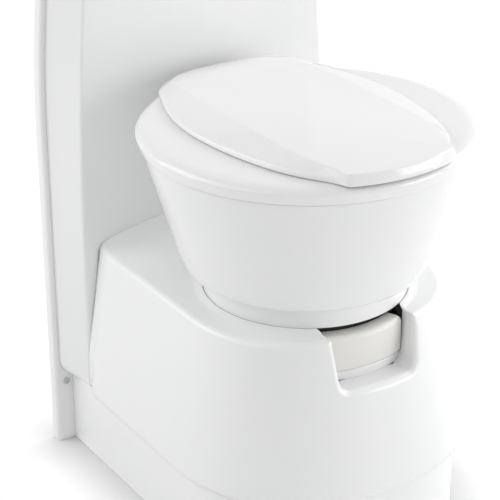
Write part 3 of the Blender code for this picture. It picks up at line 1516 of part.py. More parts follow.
def inlet_seal():
    low, high = HOUSING_TOP + GAP, DECK_LOW - GAP
    groove = (INLET_SEAL_OUTER - INLET_SEAL_INNER) / 3
    profile = [
        (INLET_SEAL_INNER, high),
        (INLET_SEAL_INNER + groove, high),
        (INLET_SEAL_OUTER, low + groove),
        (INLET_SEAL_OUTER, low),
        (INLET_SEAL_INNER, low),
    ]
    return turned("inlet_seal", profile, RUBBER, RING_STEPS)


def vent_button():
    y = from_wall(VENT_FROM_WALL)
    button = rod("vent_button", (VENT_X, y, VENT_LOW), (VENT_X, y, VENT_TOP), VENT_RADIUS, DARK_GREY)
    return bevel(button, BUTTON_FLANGE, 1, 60)


def spout_path(extra):
    y = from_wall(SPOUT_FROM_WALL)
    corners = [
        (SPOUT_X, y, recess_floor() + GAP - extra),
        (SPOUT_X, y, SPOUT_Z),
        (SPOUT_X + SPOUT_LENGTH + extra, y, SPOUT_Z),
    ]
    return rounded_path(corners, SPOUT_BEND, 6)


def pour_spout():
    spout = tube("pour_spout", spout_path(0), SPOUT_RADIUS, DARK_GREY)
    bore = tube("spout_bore", spout_path(OVERRUN), SPOUT_BORE)
    return combine(spout, bore)


def spout_cap():
    """A ribbed screw cap over the spout's mouth."""
    y = from_wall(SPOUT_FROM_WALL)
    end = SPOUT_X + SPOUT_LENGTH
    start_x = end - SPOUT_CAP_LENGTH / 2
    cap = rod(
        "spout_cap",
        (start_x, y, SPOUT_Z),
        (end + SPOUT_CAP_LENGTH / 2, y, SPOUT_Z),
        SPOUT_CAP_RADIUS,
        DARK_GREY,
    )
    bevel(cap, SPOUT_CAP_WALL / 2, 1, 60)
    inside = rod(
        "cap_inside",
        (start_x - OVERRUN, y, SPOUT_Z),
        (end + GAP, y, SPOUT_Z),
        SPOUT_RADIUS + RUNNING_GAP,
    )
    return combine(cap, inside)


def wheel(side_name, sign):
    y, z = from_wall(WHEEL_FROM_WALL), TRAY_HEIGHT + GAP + WHEEL_RADIUS
    inner = WHEEL_RECESS_X + RUNNING_GAP
    tyre = rod(
        f"cassette_wheel_{side_name}",
        (sign * inner, y, z),
        (sign * (inner + WHEEL_WIDTH), y, z),
        WHEEL_RADIUS,
        DARK_GREY,
    )
    bevel(tyre, WHEEL_ROUND, 1, 60)
    bore = rod(
        f"wheel_bore_{side_name}",
        (sign * (inner - OVERRUN), y, z),
        (sign * (inner + WHEEL_WIDTH + OVERRUN), y, z),
        WHEEL_PIN_RADIUS + RUNNING_GAP,
        sides=TINY_STEPS,
    )
    return combine(tyre, bore)


def wheel_pin(side_name, sign):
    y, z = from_wall(WHEEL_FROM_WALL), TRAY_HEIGHT + GAP + WHEEL_RADIUS
    start = (sign * (WHEEL_RECESS_X + GAP), y, z)
    end = (sign * (WHEEL_RECESS_X + RUNNING_GAP + WHEEL_WIDTH), y, z)
    return rod(f"wheel_pin_{side_name}", start, end, WHEEL_PIN_RADIUS, STEEL, sides=TINY_STEPS)


def carry_handle():
    y = from_wall(HANDLE_FROM_WALL)
    low = HANDLE_Z - HANDLE_DROP
    trunnion = BRACKET[1] - PIN_OVERHANG
    corners = [
        (-trunnion, y, HANDLE_Z),
        (-HANDLE_X + HANDLE_BEND / 2, y, HANDLE_Z),
        (-HANDLE_X + HANDLE_BEND / 2, y, low),
        (HANDLE_X - HANDLE_BEND / 2, y, low),
        (HANDLE_X - HANDLE_BEND / 2, y, HANDLE_Z),
        (trunnion, y, HANDLE_Z),
    ]
    return tube("carry_handle", rounded_path(corners, HANDLE_BEND / 2, 3), HANDLE_RADIUS, STEEL)


# Assembly


def build_root():
    for build in (
        back_frame,
        console_shell,
        console_cap,
        base_shell,
        floor_plinth,
        support_deck,
        well_ring,
        bearing_ring,
        outlet_seal,
        panel_bezel,
        level_window,
        flush_tank,
        flush_pump,
        flush_elbow,
        flush_hose,
    ):
        build()
    for side_name, sign in (("left", -1), ("right", 1)):
        frame_screw(side_name, sign)


def build_bowl():
    swivel = empty("bowl_axis", (0, BOWL_Y, 0))
    hinge = empty("hinge_axis", (0, from_wall(HINGE_FROM_WALL), HINGE_Z), swivel)
    carry(swivel, bowl_shell(), bowl_liner(), bowl_sump(), bowl_outlet())
    seat_parts = [seat_ring()] + [seat_buffer(place, turn) for place, turn in SEAT_BUFFER_DEG.items()]
    lid_parts = [lid()]
    for side_name, sign in (("left", -1), ("right", 1)):
        carry(swivel, hinge_block(side_name, sign), hinge_pin(side_name, sign))
        lid_parts.append(lid_buffer(side_name, sign))
    carry(hinge, *seat_parts, *lid_parts)
    lever_axis = empty("lever_axis", (0, BOWL_Y, LEVER_TOP))
    carry(lever_axis, slide_lever(), drive_ring())


def build_controls():
    button_axis = empty("flush_button_axis", (PANEL_BUTTON_X, from_wall(CONSOLE_FROM_WALL), PANEL_Z))
    carry(button_axis, flush_button())
    cap_axis = empty("filler_cap_axis", (FILLER_X, from_wall(FILLER_CAP_BACK), FILLER_Z))
    carry(cap_axis, filler_cap())


def build_cassette():
    cassette = empty("cassette_axis", (0, from_wall(CASSETTE_BACK), CASSETTE_LOW))
    carry(cassette, cassette_tank(), blade_housing(), slide_blade(), inlet_seal(), vent_button())
    spout_axis = empty("spout_axis", (SPOUT_X, from_wall(SPOUT_FROM_WALL), SPOUT_Z), cassette)
    carry(spout_axis, pour_spout(), spout_cap())
    handle_axis = empty("handle_axis", (0, from_wall(HANDLE_FROM_WALL), HANDLE_Z), cassette)
    carry(handle_axis, carry_handle())
    for side_name, sign in (("left", -1), ("right", 1)):
        place = (sign * WHEEL_RECESS_X, from_wall(WHEEL_FROM_WALL), TRAY_HEIGHT + GAP + WHEEL_RADIUS)
        wheel_axis = empty(f"wheel_axis_{side_name}", place, cassette)
        carry(wheel_axis, wheel(side_name, sign))
        carry(cassette, wheel_pin(side_name, sign))


def main():
    build_root()
    build_bowl()
    build_controls()
    build_cassette()


main()
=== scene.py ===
"""Caravan toilet with a high console and a swivelling bowl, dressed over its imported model.

Metres, +Z up, with the front towards -Y and the wall plane at +Y. Distances "from the wall" run forwards.
"""

import sys
import logging
import math
from collections.abc import Sequence
from dataclasses import dataclass, field
from enum import Enum

import bmesh
import bpy
import numpy as np
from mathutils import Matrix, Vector
from mathutils.geometry import tessellate_polygon


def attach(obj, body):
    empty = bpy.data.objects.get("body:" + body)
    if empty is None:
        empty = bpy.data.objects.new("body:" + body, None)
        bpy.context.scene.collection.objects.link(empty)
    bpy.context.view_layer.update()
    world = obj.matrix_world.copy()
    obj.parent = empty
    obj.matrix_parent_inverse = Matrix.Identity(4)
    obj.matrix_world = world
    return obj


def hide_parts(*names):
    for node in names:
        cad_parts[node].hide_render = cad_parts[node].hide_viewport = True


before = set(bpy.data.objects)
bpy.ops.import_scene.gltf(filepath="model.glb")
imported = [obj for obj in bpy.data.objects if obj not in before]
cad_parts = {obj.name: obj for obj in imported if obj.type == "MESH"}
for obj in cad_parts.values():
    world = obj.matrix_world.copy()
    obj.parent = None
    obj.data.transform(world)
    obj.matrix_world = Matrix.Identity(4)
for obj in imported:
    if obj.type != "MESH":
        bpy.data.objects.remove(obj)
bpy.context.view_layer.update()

logging.basicConfig(level=logging.INFO, format="%(message)s", stream=sys.stdout)
log = logging.getLogger("toilet")

Array = np.ndarray
Corner = tuple[float, float, float]
Shares = tuple[float, ...]
Colour = tuple[float, float, float, float]
Value = float | bpy.types.NodeSocket

# The clearance between pieces, and the distance under which points are one
GAP = 0.0003
WELD = 0.00001
HEIGHT = 0.830
WALL_Y = 0.24225
FRAME_FRONT = WALL_Y - 0.0153
CONSOLE_FRONT = WALL_Y - 0.0643
BOWL_Y = -0.04575
SEAT_TOP = 0.4955
SEAT_UNDER = 0.4825
FLANGE_TOP = 0.4787
HINGE_Y = WALL_Y - 0.106
HINGE_Z = 0.4893
PIN_HOLE = 0.0040
LUG_RADIUS = 0.0075
BUTTON_AT = (-0.026, 0.705)
BUTTON_HOLE = 0.0150
# The power of the base's and plinth's rounded front
SQUARENESS = 2 / 2.25
# Shares of the way over the deck, closest together at its outer edge
RUN_IN = np.linspace(0, 1, 30)[1:, None] ** 1.25


class Body(Enum):
    """The bodies that new pieces ride on."""

    BASE = "base"
    BOWL = "bowl"
    SEAT = "seat"
    LID = "lid"
    LEVER = "lever"
    BUTTON = "flush_button"
    FILLER_CAP = "filler_cap"
    CASSETTE = "cassette"
    SPOUT = "spout"
    SPOUT_CAP = "spout_cap"
    HANDLE = "handle"


class Axis(Enum):
    """The order in which a shape's two flat axes and its thickness become x, y and z."""

    X = (2, 0, 1)
    Y = (0, 2, 1)
    Z = (0, 1, 2)


# Finishes


def linear(code: str) -> Colour:
    """The linear colour, with full opacity, of an sRGB code written as #RRGGBB."""
    value = np.array([int(code[start : start + 2], 16) for start in (1, 3, 5)]) / 255
    value = np.where(value <= 0.04045, value / 12.92, ((value + 0.055) / 1.055) ** 2.4)
    return (*value.tolist(), 1.0)


def feed(tree: bpy.types.NodeTree, made: bpy.types.Node, inputs: dict) -> None:
    """Gives each named or numbered input of a node its value, or a link where that is a socket."""
    for key, value in inputs.items():
        if isinstance(value, bpy.types.NodeSocket):
            tree.links.new(value, made.inputs[key])
        else:
            made.inputs[key].default_value = value


def node(tree: bpy.types.NodeTree, kind: str, inputs: dict, **settings) -> bpy.types.Node:
    """Adds a node of a kind to the tree, and gives it its settings and then its inputs."""
    made = tree.nodes.new(kind)
    for key, value in settings.items():
        setattr(made, key, value)
    feed(tree, made, inputs)
    return made


def blend_of(
    tree: bpy.types.NodeTree, factor: bpy.types.NodeSocket, first: Colour, second: Colour
) -> bpy.types.NodeSocket:
    """The mix of two colours by a socket's value."""
    inputs = {"Factor": factor, "A": first, "B": second}
    return node(tree, "ShaderNodeMix", inputs, data_type="RGBA").outputs["Result"]


def worked(tree: bpy.types.NodeTree, operation: str, first: Value, second: Value) -> bpy.types.NodeSocket:
    """The result of an operation on two values, each a number or a socket."""
    return node(tree, "ShaderNodeMath", {0: first, 1: second}, operation=operation).outputs[0]


@dataclass(frozen=True)
class Finish:
    """A material: its two close colours, its range of roughness, and its surface relief's size and depth."""

    name: str
    colours: tuple[str, str]
    cloud_mm: float
    roughness: tuple[float, float]
    haze_mm: float
    grain_mm: float
    relief_mm: float
    ior: float = 1.5
    metallic: float = 0.0
    stretch: tuple[float, float, float] = (1.0, 1.0, 1.0)
    coat: float = 0.0
    subsurface: float = 0.0
    transmission: float = 0.0

    def noise(self, tree: bpy.types.NodeTree, size_mm: float, detail: float) -> bpy.types.NodeSocket:
        """A noise pattern whose features are about this large on the piece."""
        place = node(tree, "ShaderNodeTexCoord", {}).outputs["Object"]
        turned = node(tree, "ShaderNodeMapping", {"Vector": place, "Scale": self.stretch})
        inputs = {"Vector": turned.outputs["Vector"], "Scale": 1000 / size_mm, "Detail": detail}
        return node(tree, "ShaderNodeTexNoise", inputs).outputs["Fac"]

    def material(self) -> bpy.types.Material:
        """The material, built once and then shared."""
        made = bpy.data.materials.get(self.name)
        if made:
            return made
        made = bpy.data.materials.new(self.name)
        made.use_nodes = True
        tree = made.node_tree
        cloud = self.noise(tree, self.cloud_mm, 2.0)
        tint = blend_of(tree, cloud, *map(linear, self.colours))
        low, high = self.roughness
        haze = {"Value": self.noise(tree, self.haze_mm, 4.0), "From Min": 0.3, "From Max": 0.7}
        haze |= {"To Min": low, "To Max": high}
        relief = {"Height": self.noise(tree, self.grain_mm, 3.0), "Distance": self.relief_mm / 1000}
        inputs = {
            "Base Color": tint,
            "Roughness": node(tree, "ShaderNodeMapRange", haze).outputs["Result"],
            "Normal": node(tree, "ShaderNodeBump", relief).outputs["Normal"],
            "IOR": self.ior,
            "Metallic": self.metallic,
            "Coat Weight": self.coat,
            "Subsurface Weight": self.subsurface,
            "Subsurface Radius": (0.004, 0.004, 0.0035),
            "Subsurface Scale": 1.0,
            "Transmission Weight": self.transmission,
        }
        feed(tree, tree.nodes["Principled BSDF"], inputs)
        return made


# Injection-moulded gloss ABS: a clean, slightly cool white with a long, very shallow mould waviness.
GLOSS_ABS = Finish("gloss_moulded_abs", ("#F0F0F0", "#EDEEEE"), 160, (0.13, 0.19), 60, 34, 0.012, 1.54)
# The seat and lid are the same resin from a better polished mould, so their reflections are crisper.
SEAT_ABS = Finish("polished_moulded_abs", ("#F1F1F1", "#EFEFEF"), 180, (0.09, 0.14), 70, 42, 0.010, 1.54)
# Glazed ceramic: a warm white glass layer over a pooled body, glossier than any of the plastics.
GLAZE = Finish("glazed_ceramic", ("#F3F2EE", "#EFEEEA"), 70, (0.04, 0.08), 40, 18, 0.015, 1.52, coat=0.3)
# Spark-textured ABS on the lever: satin, a warm light grey, with a fine even grain drawn at 0.9 mm.
SATIN_ABS = Finish("satin_textured_abs", ("#E9E8E4", "#E5E4E0"), 60, (0.30, 0.38), 25, 0.9, 0.010, 1.54)
# Moulded polypropylene in pale grey for the frames that are seldom seen: a dull, slightly waxy face.
PALE_PP = Finish("pale_moulded_polypropylene", ("#CBCCCA", "#C4C6C4"), 45, (0.34, 0.46), 20, 1.2, 0.015, 1.49)
# Dark grey glass-filled nylon: matt, with a fine mottled skin.
DARK_NYLON = Finish("dark_glass_filled_nylon", ("#3E4043", "#36383A"), 8, (0.42, 0.56), 10, 0.8, 0.02, 1.53)
# EPDM rubber: near black, dry and matt, with a fine ground surface.
RUBBER = Finish("ground_epdm_rubber", ("#1F2021", "#28292A"), 6, (0.66, 0.82), 8, 0.6, 0.02, 1.51)
# Cold-drawn stainless steel: grey metal with fine drawing marks along it.
STEEL = Finish(
    "drawn_stainless_steel",
    ("#C4C5C7", "#B8B9BC"),
    6,
    (0.20, 0.32),
    4,
    0.8,
    0.004,
    metallic=1.0,
    stretch=(0.08, 1.0, 1.0),
)
# Blow-moulded natural polyethylene: a milky, slightly see-through wall with a dull skin.
NATURAL_PE = Finish(
    "natural_blown_polyethylene",
    ("#E2E3DD", "#D9DBD4"),
    50,
    (0.40, 0.50),
    30,
    3.0,
    0.05,
    1.51,
    subsurface=0.2,
)
# Green-grey acetal of the pump body: satin and even.
PUMP_ACETAL = Finish("green_grey_acetal", ("#5D6664", "#545D5B"), 12, (0.36, 0.46), 10, 1.0, 0.015, 1.48)
# Smoked acrylic: a dark clear sheet with a flame-polished face.
SMOKED = Finish(
    "smoked_acrylic", ("#2A2E2F", "#26292A"), 20, (0.03, 0.06), 15, 20, 0.004, 1.49, transmission=0.35
)


# Meshes


@dataclass
class Surface:
    """Points and faces gathered from grids and flat fills, for one mesh."""

    points: list[Array] = field(default_factory=list)
    faces: list[tuple[int, ...]] = field(default_factory=list)
    count: int = 0

    def keep(self, points: Array) -> int:
        """Adds points and gives the number of the first."""
        first = self.count
        self.points.append(points.reshape(-1, 3))
        self.count += len(self.points[-1])
        return first

    def grid(
        self,
        rows: Array,
        across: bool = False,
        along: bool = False,
        gap: tuple[int, int, int, int] | None = None,
    ) -> "Surface":
        """Adds a grid of quads between rows of points as (rows, columns, 3).

        Args:
            rows: the points.
            across: whether the last column joins the first.
            along: whether the last row joins the first.
            gap: first and last row, then first and last column, of a stretch that is left out.
        """
        count, width = rows.shape[:2]
        index = self.keep(rows) + np.arange(count * width).reshape(count, width)
        if across:
            index = np.concatenate([index, index[:, :1]], axis=1)
        if along:
            index = np.concatenate([index, index[:1]], axis=0)
        quads = np.stack([index[:-1, :-1], index[:-1, 1:], index[1:, 1:], index[1:, :-1]], axis=-1)
        keep = np.ones(quads.shape[:2], bool)
        if gap:
            keep[gap[0] : gap[1], gap[2] : gap[3]] = False
        self.faces.extend(map(tuple, quads[keep].tolist()))
        return self

    def fill(self, loops: Sequence[Array]) -> "Surface":
        """Adds a flat fill of the first loop with the others as holes."""
        first = self.keep(np.concatenate(loops))
        triangles = tessellate_polygon([[Vector(p) for p in loop.tolist()] for loop in loops])
        self.faces.extend(tuple(first + corner for corner in triangle) for triangle in triangles)
        return self

    def object(
        self, name: str, inside: Sequence[float] | None = None, sharp: float = 32.0
    ) -> bpy.types.Object:
        """The bare object, with its doubles merged and its faces outwards.

        Args:
            name: its name.
            inside: a place that an open shell's faces point away from. A closed shape needs none.
            sharp: the angle in degrees past which an edge stays crisp.
        """
        mesh = bpy.data.meshes.new(name)
        mesh.from_pydata(np.concatenate(self.points).tolist(), [], self.faces)
        shape = bmesh.new()
        shape.from_mesh(mesh)
        bmesh.ops.remove_doubles(shape, verts=shape.verts, dist=WELD)
        bmesh.ops.dissolve_degenerate(shape, edges=shape.edges, dist=WELD)
        bmesh.ops.recalc_face_normals(shape, faces=shape.faces)
        if inside is not None:
            away = ((face, face.calc_center_median() - Vector(inside)) for face in shape.faces)
            if sum(face.normal.dot(line) * face.calc_area() for face, line in away) < 0:
                bmesh.ops.reverse_faces(shape, faces=shape.faces)
        return finished(name, mesh, shape, sharp)


def linked(name: str, data: bpy.types.ID) -> bpy.types.Object:
    """A new object in the scene, with its data."""
    obj = bpy.data.objects.new(name, data)
    bpy.context.scene.collection.objects.link(obj)
    return obj


def finished(name: str, mesh: bpy.types.Mesh, shape: bmesh.types.BMesh, sharp: float) -> bpy.types.Object:
    """The object of a mesh that takes a shape, smooth but for edges sharper than an angle in degrees."""
    shape.to_mesh(mesh)
    shape.free()
    mesh.shade_smooth()
    mesh.set_sharp_from_angle(angle=math.radians(sharp))
    return linked(name, mesh)


def dress(obj: bpy.types.Object, body: Body, finish: Finish, *stands_for: str) -> None:
    """Gives a piece its material and body, and hides the nodes it stands for."""
    obj.data.materials.clear()
    obj.data.materials.append(finish.material())
    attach(obj, body.value)
    if stands_for:
        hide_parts(*stands_for)
    triangles = sum(len(face.vertices) - 2 for face in obj.data.polygons)
    log.info("%s: %d triangles on %s, %s", obj.name, triangles, body.value, finish.name)


def thicken(obj: bpy.types.Object, wall: float) -> bpy.types.Object:
    """Gives an open shell a wall on its inner side."""
    modifier = obj.modifiers.new("wall", "SOLIDIFY")
    modifier.thickness = wall
    modifier.offset = -1.0
    modifier.use_even_offset = True
    modifier.use_quality_normals = True
    return obj


def stretch_sine(share: Array) -> tuple[Array, Array]:
    """The sine and cosine over a quarter turn."""
    return np.sin(share * math.pi / 2), np.cos(share * math.pi / 2)


def ease(share: Array) -> Array:
    """A smooth step from 0 to 1: three squares less two cubes."""
    share = np.clip(share, 0, 1)
    return share * share * (3 - 2 * share)


def smooth_through(at: Array, stations: Sequence[float], values: Sequence[float]) -> Array:
    """A natural cubic through stations: its second slopes solve the usual three-term rows, and end at 0.

    Args:
        at: where the curve's value is wanted.
        stations: rising places that it passes.
        values: its value at each of them.
    """
    x, y = np.asarray(stations, float), np.asarray(values, float)
    step = np.diff(x)
    rows = np.eye(len(x))
    right = np.zeros(len(x))
    middle = np.arange(1, len(x) - 1)
    rows[middle, middle - 1] = step[:-1]
    rows[middle, middle] = 2 * (step[:-1] + step[1:])
    rows[middle, middle + 1] = step[1:]
    right[1:-1] = 6 * np.diff(np.diff(y) / step)
    bend = np.linalg.solve(rows, right)
    at = np.clip(at, x[0], x[-1])
    k = np.clip(np.searchsorted(x, at, side="right") - 1, 0, len(step) - 1)
    ahead, behind, width = x[k + 1] - at, at - x[k], step[k]
    cubic = (bend[k] * ahead**3 + bend[k + 1] * behind**3) / (6 * width)
    start, end = (y[i] / width - bend[i] * width / 6 for i in (k, k + 1))
    return cubic + (start * ahead + end * behind)


def rounded(corners: Sequence[Corner], fineness: int = 8) -> Array:
    """A closed outline whose corners are arcs: each is a rational curve of the second degree between the
    places at which the arc leaves its two sides, weighted by the cosine of half its turn.

    Args:
        corners: (across, up, radius) of each corner.
        fineness: points on each arc.
    """
    data = np.array(corners, float)
    place, radius = data[:, :2], data[:, 2:3]
    before, after = np.roll(place, 1, 0) - place, np.roll(place, -1, 0) - place
    before /= np.linalg.norm(before, axis=1, keepdims=True)
    after /= np.linalg.norm(after, axis=1, keepdims=True)
    cosine = np.sum(-before * after, axis=1, keepdims=True)
    weight = np.sqrt(np.clip((1 + cosine) / 2, 0, 1))
    reach = radius * np.sqrt(np.clip(1 - weight**2, 0, 1)) / np.maximum(weight, 0.05)
    share = np.linspace(0, 1, fineness)[None, :, None]
    start, end = (place + before * reach)[:, None], (place + after * reach)[:, None]
    first, second, third = (1 - share) ** 2, 2 * share * (1 - share) * weight[:, None], share**2
    points = (first * start + second * place[:, None] + third * end) / (first + second + third)
    points = points.reshape(-1, 2)
    apart = np.linalg.norm(points - np.roll(points, 1, 0), axis=1) > WELD
    return points[apart]


def box(
    sides: tuple[float, float], faces: tuple[float, float], radii: Sequence[float], fineness: int = 8
) -> Array:
    """A rounded outline of four corners, from the first side to the second and then from face to face."""
    (left, right), (low, high) = sides, faces
    places = ((left, low), (right, low), (right, high), (left, high))
    return rounded([(*place, radius) for place, radius in zip(places, radii)], fineness)


def plate(centre: Sequence[float], half: tuple[float, float], radius: float, fineness: int) -> Array:
    """A rounded outline round a centre, by half its width and half its height."""
    (x, z), (across, up) = centre, half
    return box((x + across, x - across), (z + up, z - up), (radius,) * 4, fineness)


def mirrored(points: Array) -> Array:
    """The points on the other side of the middle plane, with each row of them in reverse order."""
    return np.flip(points, -2) * np.array([-1.0, 1.0, 1.0][: points.shape[-1]])


def bent(start: Array, corner: Array, end: Array) -> Array:
    """A curve of the second degree between two places, drawn towards a corner."""
    share = np.linspace(0, 1, 8)[:, None]
    return (1 - share) ** 2 * start + 2 * share * (1 - share) * corner + share**2 * end


def wound(loop: Array) -> Array:
    """The loop, run so that its inside is on the left."""
    x, y = loop[:, 0], loop[:, 1]
    area = np.sum(x * np.roll(y, -1) - y * np.roll(x, -1))
    return loop if area > 0 else loop[::-1]


def inset_loop(loop: Array, inset: float | Array) -> Array:
    """A closed loop drawn in along its inward normals, more at a corner so that its sides stay parallel."""
    ahead = np.roll(loop, -1, 0) - loop
    behind = np.roll(ahead, 1, 0)
    ahead = ahead / np.linalg.norm(ahead, axis=1, keepdims=True)
    behind = behind / np.linalg.norm(behind, axis=1, keepdims=True)
    tangent = ahead + behind
    tangent /= np.linalg.norm(tangent, axis=1, keepdims=True)
    normal = np.stack([-tangent[:, 1], tangent[:, 0]], axis=1)
    stretch = np.clip(np.sum(tangent * ahead, axis=1, keepdims=True), 0.4, 1)
    return loop + normal * (np.reshape(inset, (-1, 1)) / stretch)


def laid(points: Array, height: Array | float, axis: Axis) -> Array:
    """Flat points and a height as places in space, in the order that the axis gives."""
    height = np.broadcast_to(np.asarray(height, float), points.shape[:-1])
    stacked = np.concatenate([points, height[..., None]], axis=-1)
    return stacked[..., list(axis.value)]


def slab(
    surface: Surface,
    outline: Array,
    low: float,
    high: float,
    edge: float,
    axis: Axis = Axis.Z,
    holes: Sequence[Array] = (),
    low_edge: float | None = None,
) -> Surface:
    """Adds a plate with rounded edges: a quarter-round profile carried round the outline at both faces, with
    flat fills inside. Each hole gets the same profile turned outwards. Points on the floor stay on it.

    Args:
        surface: what it is added to.
        outline: the plate's closed outline as (count, 2).
        low: one face.
        high: the other face.
        edge: the radius of its edges.
        axis: which way its thickness runs.
        holes: closed outlines of holes.
        low_edge: the radius at the low face, where it is another.
    """
    sine, cosine = stretch_sine(np.linspace(0, 1, 5 if low_edge is None else 9))
    first = edge if low_edge is None else low_edge
    insets = np.concatenate([[first + 0.6 * edge], first * (1 - sine), edge * (1 - cosine), [edge * 1.6]])
    heights = np.concatenate([[low], low + first * (1 - cosine), high - edge * (1 - sine), [high]])
    faces: list[list[Array]] = [[], []]
    for loop, side in [(outline, 1.0), *((hole, -1.0) for hole in holes)]:
        turned = wound(loop)
        rows = np.stack([laid(inset_loop(turned, side * i), h, axis) for i, h in zip(insets, heights)])
        if axis is Axis.Y:
            rows[:, turned[:, 1] < WELD, 2] = 0.0
        surface.grid(rows, across=True)
        faces[0].append(rows[0])
        faces[1].append(rows[-1])
    for loops in faces:
        surface.fill(loops)
    return surface


def lathe(
    surface: Surface,
    profile: Array,
    centre: Sequence[float] = (0.0, BOWL_Y),
    axis: Axis = Axis.Z,
    steps: int = 160,
) -> Surface:
    """Adds a closed profile of (radius, height) points turned round an axis.

    Args:
        surface: what it is added to.
        profile: points as (count, 2).
        centre: the axis, in the two flat coordinates.
        axis: which way it runs.
        steps: places round it.
    """
    angle = np.linspace(0, 2 * math.pi, steps, endpoint=False)
    flat = arc(centre, profile[:, :1], angle)
    height = np.broadcast_to(profile[:, 1:], flat.shape[:-1])
    return surface.grid(laid(flat, height, axis), across=True, along=True)


def arc(centre: Sequence[float], radius: float | Array, angle: Array) -> Array:
    """Places round a centre, at angles in radians from the first flat axis."""
    return np.stack([centre[0] + radius * np.cos(angle), centre[1] + radius * np.sin(angle)], axis=-1)


def circle(centre: Sequence[float], radius: float, steps: int = 64) -> Array:
    """A closed round outline."""
    return arc(centre, radius, np.linspace(0, 2 * math.pi, steps, endpoint=False))


def softened(
    name: str, source: str, body: Body, finish: Finish, width: float, angle: float = 34.0
) -> None:
    """Makes a merged copy of a node with its edges rounded, which stands for that node."""
    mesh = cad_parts[source].data.copy()
    mesh.name = name
    shape = bmesh.new()
    shape.from_mesh(mesh)
    bmesh.ops.remove_doubles(shape, verts=shape.verts, dist=2 * WELD)
    bmesh.ops.dissolve_limit(shape, angle_limit=math.radians(1.0), verts=shape.verts, edges=shape.edges)
    obj = finished(name, mesh, shape, angle)
    modifier = obj.modifiers.new("edges", "BEVEL")
    modifier.width = width
    modifier.segments = 3
    modifier.limit_method = "ANGLE"
    modifier.angle_limit = math.radians(angle)
    modifier.harden_normals = True
    dress(obj, body, finish, source)


# Sub-assemblies


def barrelled(z: Array, half: float, widest: float, radius: float) -> Array:
    """Half a width: full up to its widest height, then less by the rise squared over a diameter."""
    return half - np.maximum(z - widest, 0) ** 2 / (2 * radius)


